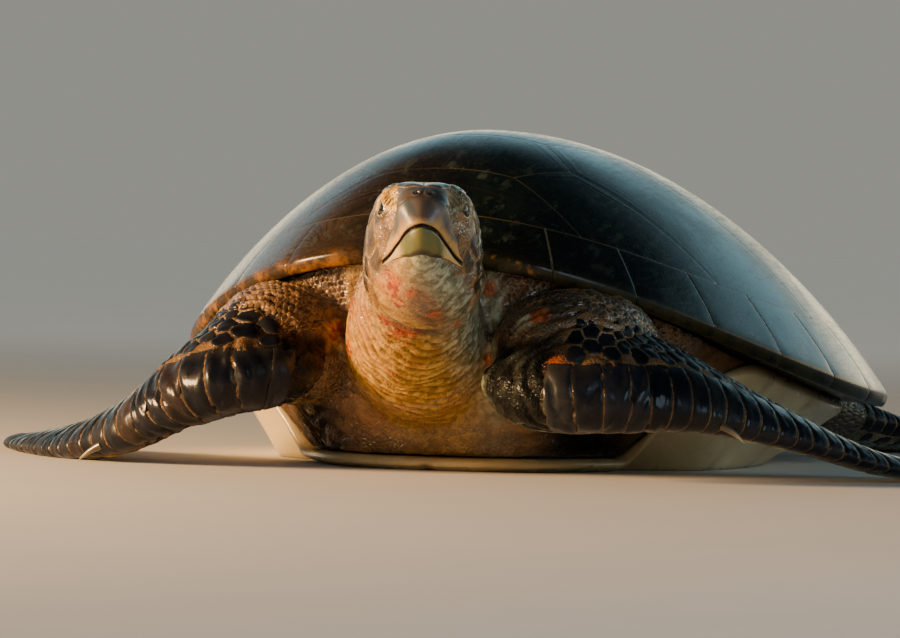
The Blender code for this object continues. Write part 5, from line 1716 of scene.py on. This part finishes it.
# the speckled skin between neck and arms, in the shell's open front
cells = hexagons(30, 330, 0.24, 71)
cells[..., 1] = 0.30 + 0.62 * cells[..., 1]
cells = cells[(np.abs(cells[:, 0, 0] - 0.5) < 0.15) & (cells[:, 0, 1] < 0.78)]
chest_horn = scale_horn("chest_scale_horn", (0.040, 0.032, 0.030), (0.120, 0.080, 0.055),
                        (0.30, 0.19, 0.09), 0.28)
lay_scales("scales_chest", cells, chart_of(trunk_rings()[2:6]), 0.0008, 0.0016, chest_horn, 0.009,
           thinly(0.92, 8, 0.35))
for side, word in SIDES:
    blade_chart = chart_of(limb(flipper_rows(side), 220, 120, BLADE_LEAD, -COAT, side))
    blade_scales("flipper_" + word, blade_chart, 38, 15, 28, 0.14 if side > 0 else 0.07, 0.0013, 21 + side)
    foot_chart = chart_of(limb(HIND_FLIPPER_ROWS, 120, 96, FOOT_LEAD, -COAT, side))
    blade_scales("foot_" + word, foot_chart, 17, 15, 14, 0.02, 0.0010, 31 + side)
    arm_chart = chart_of(limb(arm_rows(side), 90, 120, grow=-COAT, side=side))
    lay_scales("scales_shoulder_" + word, hexagons(34, 60, 0.24, 41 + side), arm_chart, 0.0007, 0.0018,
               shoulder_horn if side > 0 else sunlit_shoulder_horn, choose=off_folds(side, 5))
    thigh_chart = chart_of(limb(THIGH_ROWS, 60, 96, grow=-COAT, side=side))
    lay_scales("scales_thigh_" + word, hexagons(18, 36, 0.2, 51 + side), thigh_chart, 0.0009, 0.0020,
               shoulder_horn, choose=thinly(0.95, 6))
lay_scales("scales_tail", hexagons(26, 18, 0.15, 61), chart_of(limb(TAIL_ROWS, 90, 72, grow=-COAT)),
           0.0009, 0.0018, shoulder_horn, choose=thinly(1.0, 7))

# ---- the claws ------------------------------------------------------------------------
# One curved claw of horn on the leading edge of each fore flipper, at the wrist.
CLAW_LENGTH, CLAW_RADIUS, CLAW_STATION = 0.022, 0.0055, 22
CLAW_ROWS, CLAW_SIDES = 26, 20
CLAW_ROOT, CLAW_HOOK = 0.35, 0.25       # its hidden part and its bend, as shares of its length
LEADING = 6                 # the point of a ring that lies on the leading edge
claw_horn, shader, place = surface("claw_horn")
tone = blend(step(held("rise"), 0.2, 0.95), (0.085, 0.060, 0.032), (0.34, 0.26, 0.13))
tone = blend(step(grain(place, 180.0, 3.0), 0.5, 0.7), tone, (0.05, 0.04, 0.03), 0.5)
feed(shader, Base_Color=tone, Roughness=0.28, Coat_Weight=0.7)
relief(shader, grain(place, 90.0, 3.0, 0.6, (1.0, 4.0, 1.0)), 0.3, 0.0005)
for side, word in SIDES:
    rings = limb(flipper_rows(side), 60, 12, BLADE_LEAD, side=side)
    at = rings[CLAW_STATION][LEADING]
    run = rings[CLAW_STATION + 6][LEADING] - at
    out = at - rings[CLAW_STATION].mean(axis=0)
    way = unit(unit(run) + 0.8 * out / np.linalg.norm(out))
    flat = unit(np.cross(way, SKYWARD))
    depth = np.cross(flat, way)
    share = np.linspace(0.0, 1.0, CLAW_ROWS)[:, None, None]
    turn = turns(CLAW_SIDES)[None, :, None]
    width = CLAW_RADIUS * (1 - share) ** 0.7 * (1 + 0.02 * np.sin(share * 60)) + 0.0003
    line = at + CLAW_LENGTH * ((share * (1 + CLAW_ROOT) - CLAW_ROOT) * way - CLAW_HOOK * share**2 * depth)
    claw = line + width * (np.cos(turn) * flat + 0.8 * np.sin(turn) * depth)
    piece = put_in("claw_horn_" + word, claw, closed_faces(CLAW_ROWS, CLAW_SIDES),
                   rise=np.repeat(share.ravel(), CLAW_SIDES))
    fit(piece, claw_horn, "horn", "claw_" + word)

# ---- the skin's mesh ------------------------------------------------------------------
# Faces that add nothing to the form are merged, most of all away from the head and neck:
# of the triangles in front a given share is kept, and the rest is thinned to the limit.
MOST_FACES, FRONT_SHARE, FRONT_STARTS = 190000, 0.62, -0.15
front = on_head(coordinates(body))[0] > FRONT_STARTS
body.calc_loop_triangles()
count = len(body.loop_triangles)
in_front = int(front[read(body.loop_triangles, "vertices", 3, np.int32)].all(axis=1).sum())
group = skin.vertex_groups.new(name="rear")
group.add(np.flatnonzero(~front).tolist(), 1.0, "REPLACE")
first_goal = in_front + MOST_FACES - FRONT_SHARE * in_front
for goal, start, swapped in ((first_goal, count, False), (MOST_FACES, first_goal, True)):
    thin = skin.modifiers.new("lighter", "DECIMATE")
    thin.ratio, thin.vertex_group, thin.invert_vertex_group = goal / start, "rear", swapped
lighter = worked(skin, True)
skin.modifiers.clear()
skin.vertex_groups.clear()
skin.data = lighter
